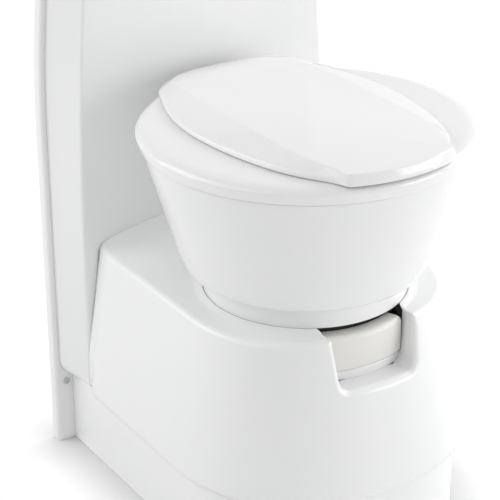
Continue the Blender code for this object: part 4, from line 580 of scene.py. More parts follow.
@dataclass
class Console:
    """The back frame on the wall, the console in front of it, and its lift-off cap."""

    depth: float = 0.064
    face_half: float = 0.178
    face_widest: float = 0.300
    face_barrel: float = 3.49
    corner: float = 0.005
    low: float = 0.0983
    tuck: float = 0.020
    tuck_half: float = 0.1782
    rear_inset: float = 0.0055
    rear_depth: float = 0.0115
    seam: float = 0.812
    window_top: float = 0.283
    window_half: float = 0.157
    back: float = 0.0153
    wall: float = 0.0035
    cap_round: float = 0.006
    frame_half: float = 0.2025
    frame_widest: float = 0.430
    frame_barrel: float = 1.60
    frame_depth: float = 0.015
    frame_corner: float = 0.022
    frame_edge: float = 0.0010
    frame_round: float = 0.0052
    bay_low: float = 0.11
    bay_top: float = 0.222
    bay_round: float = 0.003
    filler: tuple[float, float] = (0.085, 0.356)
    filler_hole: float = 0.0265
    # The columns of a half section at which the flat face starts and at which the base's window ends
    face_column: int = 20
    window_column: int = 24

    def rear_half(self, z: Array) -> Array:
        """Half the back frame's width at a height."""
        return barrelled(z, self.frame_half, self.frame_widest, self.frame_barrel)

    def half_section(self, z: Array, inset: float = 0.0) -> Array:
        """Half the outline at each height, on the -X side from the back to the middle of the face.

        It runs along the splayed side, round a quarter-round front edge and over the flat face. Near the
        bottom the rear edge tucks in round part of an ellipse, flush with the plinth.

        Args:
            z: heights as (rows,).
            inset: how far the outline is drawn in.

        Returns:
            Points as (rows, columns, 3).
        """
        rear = self.rear_half(z) - self.rear_inset - inset
        drop = np.clip((self.low + self.tuck - z) / self.tuck, 0, 0.995)
        rear = rear - (rear - self.tuck_half) * (1 - np.sqrt(1 - drop**2))
        face = barrelled(z, self.face_half, self.face_widest, self.face_barrel) - inset
        front = self.depth - inset
        angle = np.radians(np.linspace(165, 90, 10))
        arc_x = (face - self.corner)[:, None] - self.corner * np.cos(angle)
        arc_d = np.broadcast_to(front - self.corner + self.corner * np.sin(angle), arc_x.shape)
        share = (self.back - self.rear_depth) / (arc_d[:, :1] - self.rear_depth)
        back_x = rear[:, None] + (arc_x[:, :1] - rear[:, None]) * share
        along = np.linspace(0, 1, 12)[:-1]
        side_x = back_x + (arc_x[:, :1] - back_x) * along
        side_d = self.back + (arc_d[:, :1] - self.back) * along
        flat_share = self.window_half / (self.face_half - self.corner)
        edge_x = arc_x[:, -1:] * (1 - (1 - flat_share) * np.linspace(0, 1, 5)[1:])
        inner_x = arc_x[:, -1:] * flat_share * (1 - np.linspace(0, 1, 16)[1:])
        x = np.concatenate([side_x, arc_x, edge_x, inner_x], axis=1)
        d = np.concatenate([side_d, arc_d, np.full_like(x[:, self.face_column + 1 :], front)], axis=1)
        return np.stack([-x, WALL_Y - d, np.broadcast_to(z[:, None], x.shape)], axis=-1)

    def whole(self, half: Array) -> Array:
        """The half outline followed by its mirror image."""
        return np.concatenate([half, mirrored(half[:, :-1])], axis=1)

    def shell(self) -> None:
        """Makes the console: full sections above the base, and only its cheeks beside the base's back."""
        surface = Surface()
        upper = self.whole(self.half_section(np.linspace(self.window_top, self.seam, 56)))
        (x, z), clear, edge = BUTTON_AT, 1.25 * BUTTON_HOLE, self.window_column
        low, high = np.searchsorted(upper[:, 0, 2], [z - clear, z + clear]) + [-1, 0]
        columns = upper[low, edge:-edge, 0]
        left, right = np.searchsorted(columns, [x - clear, x + clear]) + [edge - 1, edge]
        surface.grid(upper, gap=(low, high, left, right))
        around = np.concatenate(
            [
                upper[low, left:right],
                upper[low:high, right],
                upper[high, right:left:-1],
                upper[high:low:-1, left],
            ]
        )
        away = around - np.array([x, WALL_Y - self.depth, z])
        opening = around - away * (1 - BUTTON_HOLE / np.linalg.norm(away, axis=1, keepdims=True))
        surface.grid(np.stack([around, (around + opening) / 2, opening]), across=True)
        tucked = self.low + self.tuck * np.linspace(0, 1, 14)[:-1] ** 1.6
        straight = np.linspace(self.low + self.tuck, self.window_top, 18)
        cheek = self.half_section(np.concatenate([tucked, straight]))[:, : edge + 1]
        obj = surface.grid(cheek).grid(mirrored(cheek)).object("console", (0, WALL_Y, 0.45))
        dress(thicken(obj, self.wall), Body.BASE, GLOSS_ABS, "console_shell")

    def cap(self) -> None:
        """Makes the thin cap: the console's outline drawn in round a quarter circle to a flat top."""
        sine, cosine = stretch_sine(np.linspace(0, 1, 8))
        insets = np.concatenate([[0], self.cap_round * (1 - cosine)])
        heights = np.concatenate([[self.seam + GAP], HEIGHT - self.cap_round * (1 - sine)])
        rows = []
        for inset, z in zip(insets, heights):
            half = self.half_section(np.array([min(z, HEIGHT - self.cap_round)]), float(inset))
            half[..., 2] = z
            rows.append(self.whole(half)[0])
        side, front = rows[-1][: self.face_column + 1], rows[-1][self.face_column : -self.face_column]
        across = side[:, :1] * (front[:, 0] / front[0, 0])
        flat = np.stack(np.broadcast_arrays(across, side[:, 1:2]), axis=-1)
        surface = Surface().grid(np.stack(rows)).grid(laid(flat, HEIGHT, Axis.Z))
        obj = surface.object("console_top", (0, WALL_Y - 0.03, HEIGHT - 0.02))
        dress(thicken(obj, self.wall), Body.BASE, GLOSS_ABS, "console_cap")

    def back_frame(self) -> None:
        """Makes the plate on the wall: barrel sides, round top corners, the bay and the filler's hole."""
        shoulder = HEIGHT - self.frame_corner
        z = np.concatenate([[0.0], np.linspace(0.02, shoulder, 60)])
        half = self.rear_half(z)
        centre = (half[-1] - self.frame_corner, shoulder)
        corner = arc(centre, self.frame_corner, np.linspace(0, math.pi / 2, 14)[1:])
        right = np.concatenate([np.stack([half, z], axis=1), corner])
        x, low, top, turn = self.window_half, self.bay_low, self.bay_top, self.bay_round
        bay = rounded([(-x, low, 0.0), (-x, top, turn), (x, top, turn), (x, low, 0.0)], 5)
        outline = np.concatenate([right, mirrored(right), [(-x, 0.0)], bay, [(x, 0.0)]])
        holes = [circle(self.filler, self.filler_hole)]
        faces = (WALL_Y - self.frame_depth, WALL_Y)
        surface = slab(Surface(), outline, *faces, self.frame_edge, Axis.Y, holes, self.frame_round)
        dress(surface.object("wall_frame"), Body.BASE, GLOSS_ABS, "back_frame")

    def build(self) -> None:
        """Makes all three pieces."""
        self.shell()
        self.cap()
        self.back_frame()


@dataclass
class Base:
    """The flared base with its deck, the well for the bowl and the finger notch, on its plinth."""

    top: float = 0.291
    low: float = 0.098
    top_half: float = 0.160
    low_half: float = 0.191
    top_front: float = 0.145
    low_front: float = 0.185
    top_round: float = 0.008
    lip_round: float = 0.011
    lip_inset: float = 0.017
    blend: float = 0.038
    blend_y: float = WALL_Y - 0.060
    back_share: float = 0.97
    console_half: float = 0.178
    well: float = 0.1219
    rim: float = 0.0008
    kerb: float = 0.0031
    kerb_run: float = 0.011
    cove_y: float = WALL_Y - 0.090
    cove_depth: float = 0.026
    cove_rise: float = 0.022
    cove_steep: float = 0.85
    notch_half: float = 0.0560
    notch_draft: float = 0.090
    notch_floor: float = 0.229
    notch_corner: float = 0.012
    notch_edge: float = 0.0072
    outer_corner: float = 0.009
    inner_corner: float = 0.0022
    outer_fillet: float = 0.0180
    track: float = 0.1296
    track_round: float = 0.0004
    wall: float = 0.0036
    ring_radii: tuple[float, float] = (0.1142, 0.1295)
    ring_faces: tuple[float, float] = (0.240, 0.2287)
    plinth_half: float = 0.178
    plinth_front: float = 0.172
    plinth_top: float = 0.0975
    plinth_wall: float = 0.004
    tray_inset: float = 0.0042
    tray_faces: tuple[float, float] = (0.0004, 0.005)
    rail_sides: tuple[float, float] = (0.1505, 0.1565)
    rail_faces: tuple[float, float] = (0.0045, 0.024)
    rail_front: float = WALL_Y - 0.350
    rail_edge: float = 0.0015
    # How far, in turns, the lip's columns lead those above, and over which turns they and the deck's spread
    lip_lead: float = 0.20
    lip_spread: float = 0.55
    deck_spread: float = 0.35
    # The points round each corner of the notch, down its side and along its floor
    corner_steps: int = 8
    side_steps: int = 12
    floor_steps: int = 16

    def fall(self, z: Array) -> Array:
        """How far down the flared wall a height lies, held at its value below the top rounding."""
        return (self.top - np.minimum(z, self.top - self.top_round)) / (self.top - self.low)

    def half(self, z: Array) -> Array:
        """Half the width at a height."""
        return self.top_half + (self.low_half - self.top_half) * self.fall(z)

    def front(self, z: Array) -> Array:
        """The reach in front of the bowl's axis at a height."""
        return self.top_front + (self.low_front - self.top_front) * self.fall(z)

    def turn_at(self, x: Array | float, z: Array | float, inset: Array | float = 0.0) -> Array:
        """The turn at which the outline passes this far from the middle plane."""
        share = np.clip(np.abs(x) / (self.half(z) - inset), 0, 1)
        return 2 / math.pi * np.arcsin(share ** (1 / SQUARENESS))

    def place(self, turn: Array, z: Array | float, inset: Array | float = 0.0) -> Array:
        """Places on the wall, on the -X side.

        A turn from 0 to 1 runs from the middle of the front to the bowl's side: across = half width times the
        sine to a power, forwards = reach times the cosine to the same power. From 1 to 2 it runs straight
        back, and the width eases in to the console's.

        Args:
            turn: place along the outline.
            z: height.
            inset: how far the outline is drawn in.

        Returns:
            Points as (..., 3).
        """
        turn, z, inset = np.broadcast_arrays(turn, z, inset)
        half, front = self.half(z) - inset, self.front(z) - inset
        angle = np.clip(turn, 0, 1) * math.pi / 2
        x_front = half * np.sin(angle) ** SQUARENESS
        y_front = BOWL_Y - front * np.cos(angle) ** SQUARENESS
        y_side = BOWL_Y + np.clip(turn - 1, 0, 1) * (CONSOLE_FRONT - BOWL_Y)
        back_half = np.minimum((half + inset) * self.back_share, self.console_half) - inset
        x_side = back_half + (half - back_half) * ease((self.blend_y - y_side) / self.blend)
        x = np.where(turn <= 1, x_front, x_side)
        y = np.where(turn <= 1, y_front, y_side)
        return np.stack([-x, y, z], axis=-1)

    def cove(self, points: Array) -> Array:
        """The deck's rise to the console, an ellipse's quarter that is highest in the middle."""
        reach = np.clip((points[..., 1] - self.cove_y) / self.cove_depth, 0, 1) * self.cove_steep
        across = 1 - np.minimum(np.abs(points[..., 0]) / self.top_half, 1) ** 3
        whole = 1 - math.sqrt(1 - self.cove_steep**2)
        return self.cove_rise * (1 - np.sqrt(1 - reach**2)) / whole * across

    def kerbed(self, points: Array) -> Array:
        """The points with the deck raised a little towards the well, up to the foot of the bowl's collar."""
        reach = np.hypot(points[..., 0], points[..., 1] - BOWL_Y)
        depth = self.top - points[..., 2]
        raised = points.copy()
        near = ease(1 - (reach - self.well) / self.kerb_run)
        raised[..., 2] += self.kerb * (near * ease(1 - depth / self.top_round))
        return raised

    def notch_line(
        self, half: float, high: float, corner: float, floor: float, fillet: float
    ) -> tuple[Array, Array]:
        """A line across half the notch as x and z: from the deck round a corner, down the side wall, round a
        fillet and along the floor to the middle. The side wall draws in towards the floor by its draft.
        """
        turn = np.linspace(0, math.pi / 2, self.corner_steps + 1)[1:]
        sine, cosine = np.sin(turn), np.cos(turn)
        down = np.linspace(0, 1, self.side_steps + 1)[1:]
        along = 1 - np.linspace(0, 1, self.floor_steps + 1)[1:]
        x = np.concatenate(
            [
                half + corner * (1 - sine),
                np.full(self.side_steps, half),
                half - fillet * (1 - cosine),
                (half - fillet) * along,
            ]
        )
        z = np.concatenate(
            [
                high - corner * (1 - cosine),
                high - corner + (floor + fillet - high + corner) * down,
                floor + fillet * (1 - sine),
                np.full(self.floor_steps, floor),
            ]
        )
        draft = self.notch_draft / (self.top - self.notch_floor)
        return x * (1 - draft * (high - z)), z

    def half_grid(self) -> tuple[Array, Array]:
        """The -X half of the shell as one grid.

        Each column starts at the turned-in lip and climbs the wall to the top edge or to the notch's edge,
        turns through that edge's rounding, and runs in over the deck to the well, or along the notch to the
        lever's track.

        Returns:
            Points as (rows, columns, 3), and where the first column reaches the deck.
        """
        high, wall_low = self.top - self.top_round, self.low + self.lip_round
        inner_end = self.notch_half + self.inner_corner
        outer_end = self.notch_half + self.notch_edge
        outer_floor = self.notch_floor - self.notch_edge
        x_out, z_out = self.notch_line(outer_end, high, self.outer_corner, outer_floor, self.outer_fillet)
        x_in, z_in = self.notch_line(
            self.notch_half, self.top, self.inner_corner, self.notch_floor, self.notch_corner
        )
        end_out = float(self.turn_at(outer_end + self.outer_corner, high))
        end_in = float(self.turn_at(inner_end, self.top, self.top_round))
        end_floor = float(self.turn_at(outer_end - self.outer_fillet, z_out[-1]))
        end_lip = end_out + self.lip_lead
        deck_out = np.concatenate([np.linspace(2, 1, 44)[:-1], np.linspace(1, end_out, 46)])
        beyond = deck_out - end_out
        deck_in = deck_out - (end_out - end_in) * ease(1 - beyond / self.deck_spread)
        deck_lip = deck_out + (end_lip - end_out) * ease(1 - beyond / self.lip_spread)
        side_count = len(x_out) - self.floor_steps
        side_lip = end_lip + (end_floor - end_lip) * np.linspace(0, 1, side_count + 1)[1:]
        floor_lip = end_floor * (1 - np.linspace(0, 1, self.floor_steps + 1)[1:])
        turn_lip = np.concatenate([deck_lip, side_lip, floor_lip])
        turn_out = np.concatenate([deck_out, self.turn_at(x_out, z_out)])
        z_top = np.concatenate([np.full(len(deck_out), high), z_out])

        angle = np.radians(np.linspace(270, 180, 8))[:, None]
        lip_z = wall_low + self.lip_round * np.sin(angle)
        lip_in = self.lip_round + self.lip_round * np.cos(angle)
        climb = np.linspace(0, 1, 27)[1:, None]
        blocks = [
            self.place(turn_lip[None], self.low, self.lip_inset),
            self.place(turn_lip[None], lip_z, lip_in),
            self.place(turn_lip + (turn_out - turn_lip) * climb, wall_low + (z_top - wall_low) * climb),
        ]

        sine, cosine = stretch_sine(np.linspace(0, 1, 8)[1:, None])
        deck_turns = deck_out + (deck_in - deck_out) * sine
        deck_round = self.place(deck_turns, high + self.top_round * sine, self.top_round * (1 - cosine))
        deck_round[..., 2] += self.cove(deck_round) * sine
        round_x, round_z = x_out + (x_in - x_out) * sine, z_out + (z_in - z_out) * sine
        round_in = self.notch_edge * (1 - cosine)
        notch_round = self.place(self.turn_at(round_x, round_z, round_in), round_z, round_in)
        blocks.append(np.concatenate([deck_round, notch_round], axis=1))

        start = deck_round[-1]
        heading = np.degrees(np.arctan2(-start[:, 0], BOWL_Y - start[:, 1]))
        end_heading = math.degrees(math.asin(inner_end / (self.well + self.rim)))
        stops = [heading[-1] + 30, 180]
        well_heading = np.interp(heading, [heading[-1], *stops], [end_heading, *stops])
        rows = (self.run_to_well(start, well_heading), self.run_along_notch(notch_round[-1]))
        blocks.append(np.concatenate(rows, axis=1))
        return np.concatenate(blocks), start[0]

    def run_to_well(self, start: Array, heading: Array) -> Array:
        """Rows from the top edge straight in to the well, then down round its rim.

        Args:
            start: the places where the deck starts.
            heading: where each reaches the well, in degrees from the front towards -X.

        Returns:
            Points as (rows, columns, 3).
        """
        aim = np.stack([-np.sin(np.radians(heading)), -np.cos(np.radians(heading))], axis=-1)
        centre = np.array([0.0, BOWL_Y])
        end = centre + aim * (self.well + self.rim)
        flat = start[None, :, :2] + (end - start[:, :2])[None] * RUN_IN[:, :, None]
        deck = laid(flat, self.top, Axis.Z)
        deck[..., 2] += self.cove(deck)
        sine, cosine = stretch_sine(np.linspace(0, 1, 6)[1:, None, None])
        rim = centre + aim[None] * (self.well + self.rim * (1 - sine))
        drop = self.top - self.rim * (1 - cosine[..., 0])
        return self.kerbed(np.concatenate([deck, laid(rim, drop, Axis.Z)]))

    def run_along_notch(self, start: Array) -> Array:
        """Rows from where the notch's walls and floor start, straight back to the lever's track.

        The deck's corner ends at the well's rim, which fades out round it.

        Returns:
            Points as (rows, columns, 3).
        """
        x, z = start[:, 0], start[:, 2]
        corner = np.clip(np.arange(1, len(x) + 1) / self.corner_steps, 0, 1)
        end_radius = (self.well + self.rim) * (1 - corner) + (self.track + self.track_round) * corner
        end_y = BOWL_Y - np.sqrt(end_radius**2 - x**2)
        y = start[:, 1] + (end_y - start[:, 1]) * RUN_IN
        rows = np.stack(np.broadcast_arrays(x, y, z), axis=-1)
        sine, cosine = stretch_sine(np.linspace(0, 1, 6)[1:, None])
        radius = end_radius - (self.rim * (1 - corner) + self.track_round * corner) * sine
        rim_y = BOWL_Y - np.sqrt(radius**2 - x**2)
        rim_z = z - self.rim * (1 - corner) * (1 - cosine)
        return self.kerbed(np.concatenate([rows, np.stack(np.broadcast_arrays(x, rim_y, rim_z), axis=-1)]))

    def shell(self) -> None:
        """Makes the whole shell: the half grid, its mirror image, and the deck's back between them."""
        half, first = self.half_grid()
        surface = Surface().grid(np.concatenate([half, mirrored(half[:, :-1])], axis=1))
        heading = math.degrees(math.atan2(-first[0], BOWL_Y - first[1]))
        headings = np.linspace(heading, 360 - heading, 70)
        x = (BOWL_Y - first[1]) * np.tan(np.radians(180 - headings))
        start = np.stack([x, np.full_like(x, first[1]), np.full_like(x, self.top)], axis=-1)
        start[..., 2] += self.cove(start)
        surface.grid(np.concatenate([start[None], self.run_to_well(start, headings)]))
        obj = surface.object("base", (0, BOWL_Y, 0.15), 40)
        dress(thicken(obj, self.wall), Body.BASE, GLOSS_ABS, "base_shell")

    def plinth_path(self, inset: float) -> Array:
        """The plinth's three sides at an inset, from the back on -X round the front to the back on +X."""
        angle = np.linspace(math.pi / 2, 0, 60)
        half, reach = self.plinth_half - inset, self.plinth_front - inset
        x, y = half * np.sin(angle) ** SQUARENESS, BOWL_Y - reach * np.cos(angle) ** SQUARENESS
        side = np.stack([np.full(12, half), np.linspace(FRAME_FRONT, BOWL_Y, 13)[:-1]], axis=1)
        path = np.concatenate([side, np.stack([x, y], axis=1)]) * np.array([-1.0, 1.0])
        return np.concatenate([path, mirrored(path[:-1])])

    def plinth(self) -> None:
        """Makes the wall on the floor, its tray and the two rails that guide the cassette."""
        wall, top = self.plinth_wall, self.plinth_top
        corners = [(0, 0, 0.0008), (0, top, 0.0016), (wall, top, 0.0016), (wall, 0.001, 0.0004), (wall, 0, 0)]
        section = rounded(corners, 6)
        rows = np.stack([laid(self.plinth_path(float(inset)), float(z), Axis.Z) for inset, z in section])
        surface = Surface().grid(rows, along=True).fill([rows[:, 0]]).fill([rows[:, -1]])
        slab(surface, self.plinth_path(self.tray_inset), *self.tray_faces, 0.0004)
        (inner, outer), front = self.rail_sides, self.rail_front
        ends = [(inner, FRAME_FRONT, 0.001), (inner, front, 0.0029), (outer, front, 0.0029)]
        ends.append((outer, FRAME_FRONT, 0.001))
        for sign in (-1.0, 1.0):
            rail = rounded([(sign * x, y, radius) for x, y, radius in ends], 6)
            slab(surface, rail, *self.rail_faces, self.rail_edge)
        dress(surface.object("plinth"), Body.BASE, GLOSS_ABS, "floor_plinth")

    def ring(self) -> None:
        """Makes the pale ring on the deck that the lever slides over, with softened upper edges."""
        profile = box(self.ring_radii, self.ring_faces, (0.0012, 0.0026, 0.0004, 0.0004))
        dress(lathe(Surface(), profile).object("lever_track"), Body.BASE, GLOSS_ABS, "well_ring")

    def build(self) -> None:
        """Makes the shell, the plinth and the ring."""
        self.shell()
        self.plinth()
        self.ring()


@dataclass
class Lever:
    """The curved lever in the notch that opens the blade."""

    inner: float = 0.1110
    outer: float = 0.1315
    low: float = 0.2403
    top: float = 0.2842
    start: float = -78.0
    end: float = 22.8
    edge: float = 0.003
    tab_sides: tuple[float, float] = (0.107, 0.1165)
    tab_top: float = 0.2795
    tab_start: float = -70.0
    tab_end: float = -54.0
    tab_edge: float = 0.0008

    def sector(self, surface: Surface, section: Array, start: float, end: float, edge: float) -> None:
        """A closed section of (radius, height) carried round the bowl's axis, drawn in round its ends."""
        middle = (self.inner + self.outer) / 2
        lead = np.linspace(0, 1, 7)
        ends = np.degrees(edge * (1 - stretch_sine(1 - lead)[1]) / middle)
        shrink = edge * (1 - stretch_sine(lead)[0])
        between = np.linspace(start, end, 72)[2:-2]
        angles = np.concatenate([start + ends, between, (end - ends)[::-1]])
        insets = np.concatenate([shrink, np.zeros_like(between), shrink[::-1]])
        turned = wound(section)
        rows = []
        for angle, inset in zip(np.radians(angles), insets):
            radius, height = inset_loop(turned, float(inset)).T
            rows.append(np.stack([radius * math.sin(angle), BOWL_Y - radius * math.cos(angle), height], 1))
        grid = np.stack(rows)
        surface.grid(grid, across=True).fill([grid[0]]).fill([grid[-1]])

    def build(self) -> None:
        """Makes the lever with the tab that drives the ring below."""
        surface = Surface()
        section = box((self.inner, self.outer), (self.low, self.top), (0.0034, 0.0034, 0.0060, 0.0020))
        self.sector(surface, section, self.start, self.end, self.edge)
        tab = box(self.tab_sides, (self.low, self.tab_top), (0.001,) * 4, 4)
        self.sector(surface, tab, self.tab_start, self.tab_end, self.tab_edge)
        dress(surface.object("slide_handle"), Body.LEVER, SATIN_ABS, "slide_lever")


@dataclass
class Bowl:
    """The swivelling bowl, its liner, and the hinge posts on its rim."""

    rim: float = 0.189
    rim_z: float = 0.475
    liner_wall: float = 0.004
    waist: float = 0.128
    waist_z: float = 0.345
    neck_z: float = 0.263
    outlet: float = 0.042
    outlet_wall: float = 0.0035
    outlet_low: float = 0.2165
    # A near-black lip under the bowl's foot, painted shade for the lever's slot: its radii and its faces
    slot_shade_sides: tuple[float, float] = (0.1035, 0.1096)
    slot_shade_faces: tuple[float, float] = (0.2810, 0.2933)
    block: tuple[float, float] = (0.0345, 0.044)
    block_radius: float = 0.008
    block_run: float = 0.005
    block_rise: float = 0.0025
    pin: float = 0.0037
    pin_ends: tuple[float, float] = (0.023, 0.055)

    def turned(self, name: str, section: Array, steps: int, finish: Finish, *stands_for: str) -> None:
        """Makes a piece by turning its section round the bowl's axis."""
        obj = lathe(Surface(), section, steps=steps).object(name)
        dress(obj, Body.BOWL, finish, *stands_for)

    def shell(self) -> None:
        """Makes the outer bowl: a cone over a rounded foot, the collar in the well and the spigot."""
        corners = [
            (0.182, self.rim_z, 0.0012),
            (self.rim, self.rim_z, 0.0022),
            (0.1483, 0.340, 0.050),
            (0.1415, 0.3232, 0.0125),
            (0.1215, 0.3196, 0.0022),
            (0.1215, 0.2935, 0.0004),
            (0.098, 0.2935, 0.001),
            (0.098, 0.242, 0.001),
            (0.066, 0.242, 0.001),
            (0.066, 0.246, 0.001),
            (0.0945, 0.246, 0.001),
            (0.0945, 0.297, 0.001),
            (0.118, 0.297, 0.001),
            (0.118, 0.3225, 0.001),
            (0.1305, 0.327, 0.005),
            (0.1448, 0.340, 0.020),
            (0.182, 0.468, 0.002),
        ]
        self.turned("bowl", rounded(corners, 10), 180, GLOSS_ABS, "bowl_shell")

    def liner(self) -> None:
        """Makes the inlay: a flat flange, a rolled flush rim and the funnel down to its waist."""
        corners = [
            (0.162, FLANGE_TOP, 0.0012),
            (0.1865, FLANGE_TOP, 0.0016),
            (0.1865, 0.4753, 0.0005),
            (0.1815, 0.4753, 0.0005),
            (0.174, 0.461, 0.006),
            (self.waist + self.liner_wall, self.waist_z, 0.0008),
            (self.waist, self.waist_z, 0.0008),
            (0.170, 0.461, 0.006),
            (0.170, 0.475, 0.003),
            (0.164, 0.475, 0.0009),
            (0.164, 0.461, 0.0008),
            (0.162, 0.461, 0.0008),
        ]
        self.turned("bowl_inlay", rounded(corners, 9), 180, GLAZE, "bowl_liner")

    def sump(self) -> None:
        """Makes the sump below the waist: a bowed wall that narrows to the neck."""
        wall, high = self.liner_wall, self.waist_z - GAP
        corners = [
            (self.waist, high, 0.0008),
            (self.waist + wall, high, 0.0008),
            (0.074, 0.278, 0.020),
            (self.outlet + self.outlet_wall, self.neck_z - wall, 0.002),
            (self.outlet, self.neck_z - wall, 0.0006),
            (self.outlet, self.neck_z, 0.003),
            (0.070, 0.282, 0.014),
            (0.103, 0.3095, 0.050),
        ]
        self.turned("sump", rounded(corners, 9), 160, GLOSS_ABS, "bowl_sump")

    def pipe(self) -> None:
        """Makes the outlet pipe below the neck, with softened ends."""
        sides = (self.outlet, self.outlet + self.outlet_wall)
        faces = (self.outlet_low, self.neck_z - self.liner_wall - GAP)
        section = box(sides, faces, (0.0008, 0.0012, 0.0006, 0.0006), 5)
        self.turned("outlet_pipe", section, 96, GLOSS_ABS, "bowl_outlet")

    def slot_shade_lip(self) -> None:
        """Makes the dark lip under the bowl's foot that closes the lever's slot from above. Its near-black
        band seen through the slot is painted shade, standing in for the shadow in the slot.
        """
        section = box(self.slot_shade_sides, self.slot_shade_faces, (0.0006, 0.0012, 0.0006, 0.0006), 5)
        self.turned("foot_slot_shade", section, 128, RUBBER)

    def posts(self) -> None:
        """Makes the two posts that hold the pins, with a foot that runs out along the flange."""
        low, radius = FLANGE_TOP + GAP, self.block_radius
        head = arc((HINGE_Y, HINGE_Z), radius, np.radians(np.linspace(0, 180, 26)))
        toe, heel = HINGE_Y - radius - self.block_run, HINGE_Y + 0.0025
        outline = np.concatenate([head, [(toe, low + self.block_rise), (toe, low), (heel, low)]])
        hole = [circle((HINGE_Y, HINGE_Z), PIN_HOLE, 32)]
        for name, sign in (("left", -1), ("right", 1)):
            ends = sorted((sign * self.block[0], sign * self.block[1]))
            surface = slab(Surface(), outline, *ends, 0.0006, Axis.X, hole)
            dress(surface.object(f"post_{name}"), Body.BOWL, PALE_PP, f"hinge_block_{name}")
            profile = box((0, self.pin), self.pin_ends, (0, 0.0008, 0.0008, 0), 5)
            pin = lathe(Surface(), profile * np.array([1, sign]), (HINGE_Y, HINGE_Z), Axis.X, 40)
            dress(pin.object(f"pin_{name}"), Body.BOWL, STEEL, f"hinge_pin_{name}")

    def build(self) -> None:
        """Makes the bowl, its inlay, sump and pipe, the lip under its foot, and the posts."""
        self.shell()
        self.liner()
        self.sump()
        self.pipe()
        self.slot_shade_lip()
        self.posts()


def lug(surface: Surface, outline: Array, pair: tuple[float, float], edge: float = 0.0006) -> None:
    """Adds a hinge lug on each side, with a hole for the pin."""
    hole = [circle((HINGE_Y, HINGE_Z), PIN_HOLE, 32)]
    for sign in (-1, 1):
        slab(surface, outline, *sorted((sign * pair[0], sign * pair[1])), edge, Axis.X, hole)


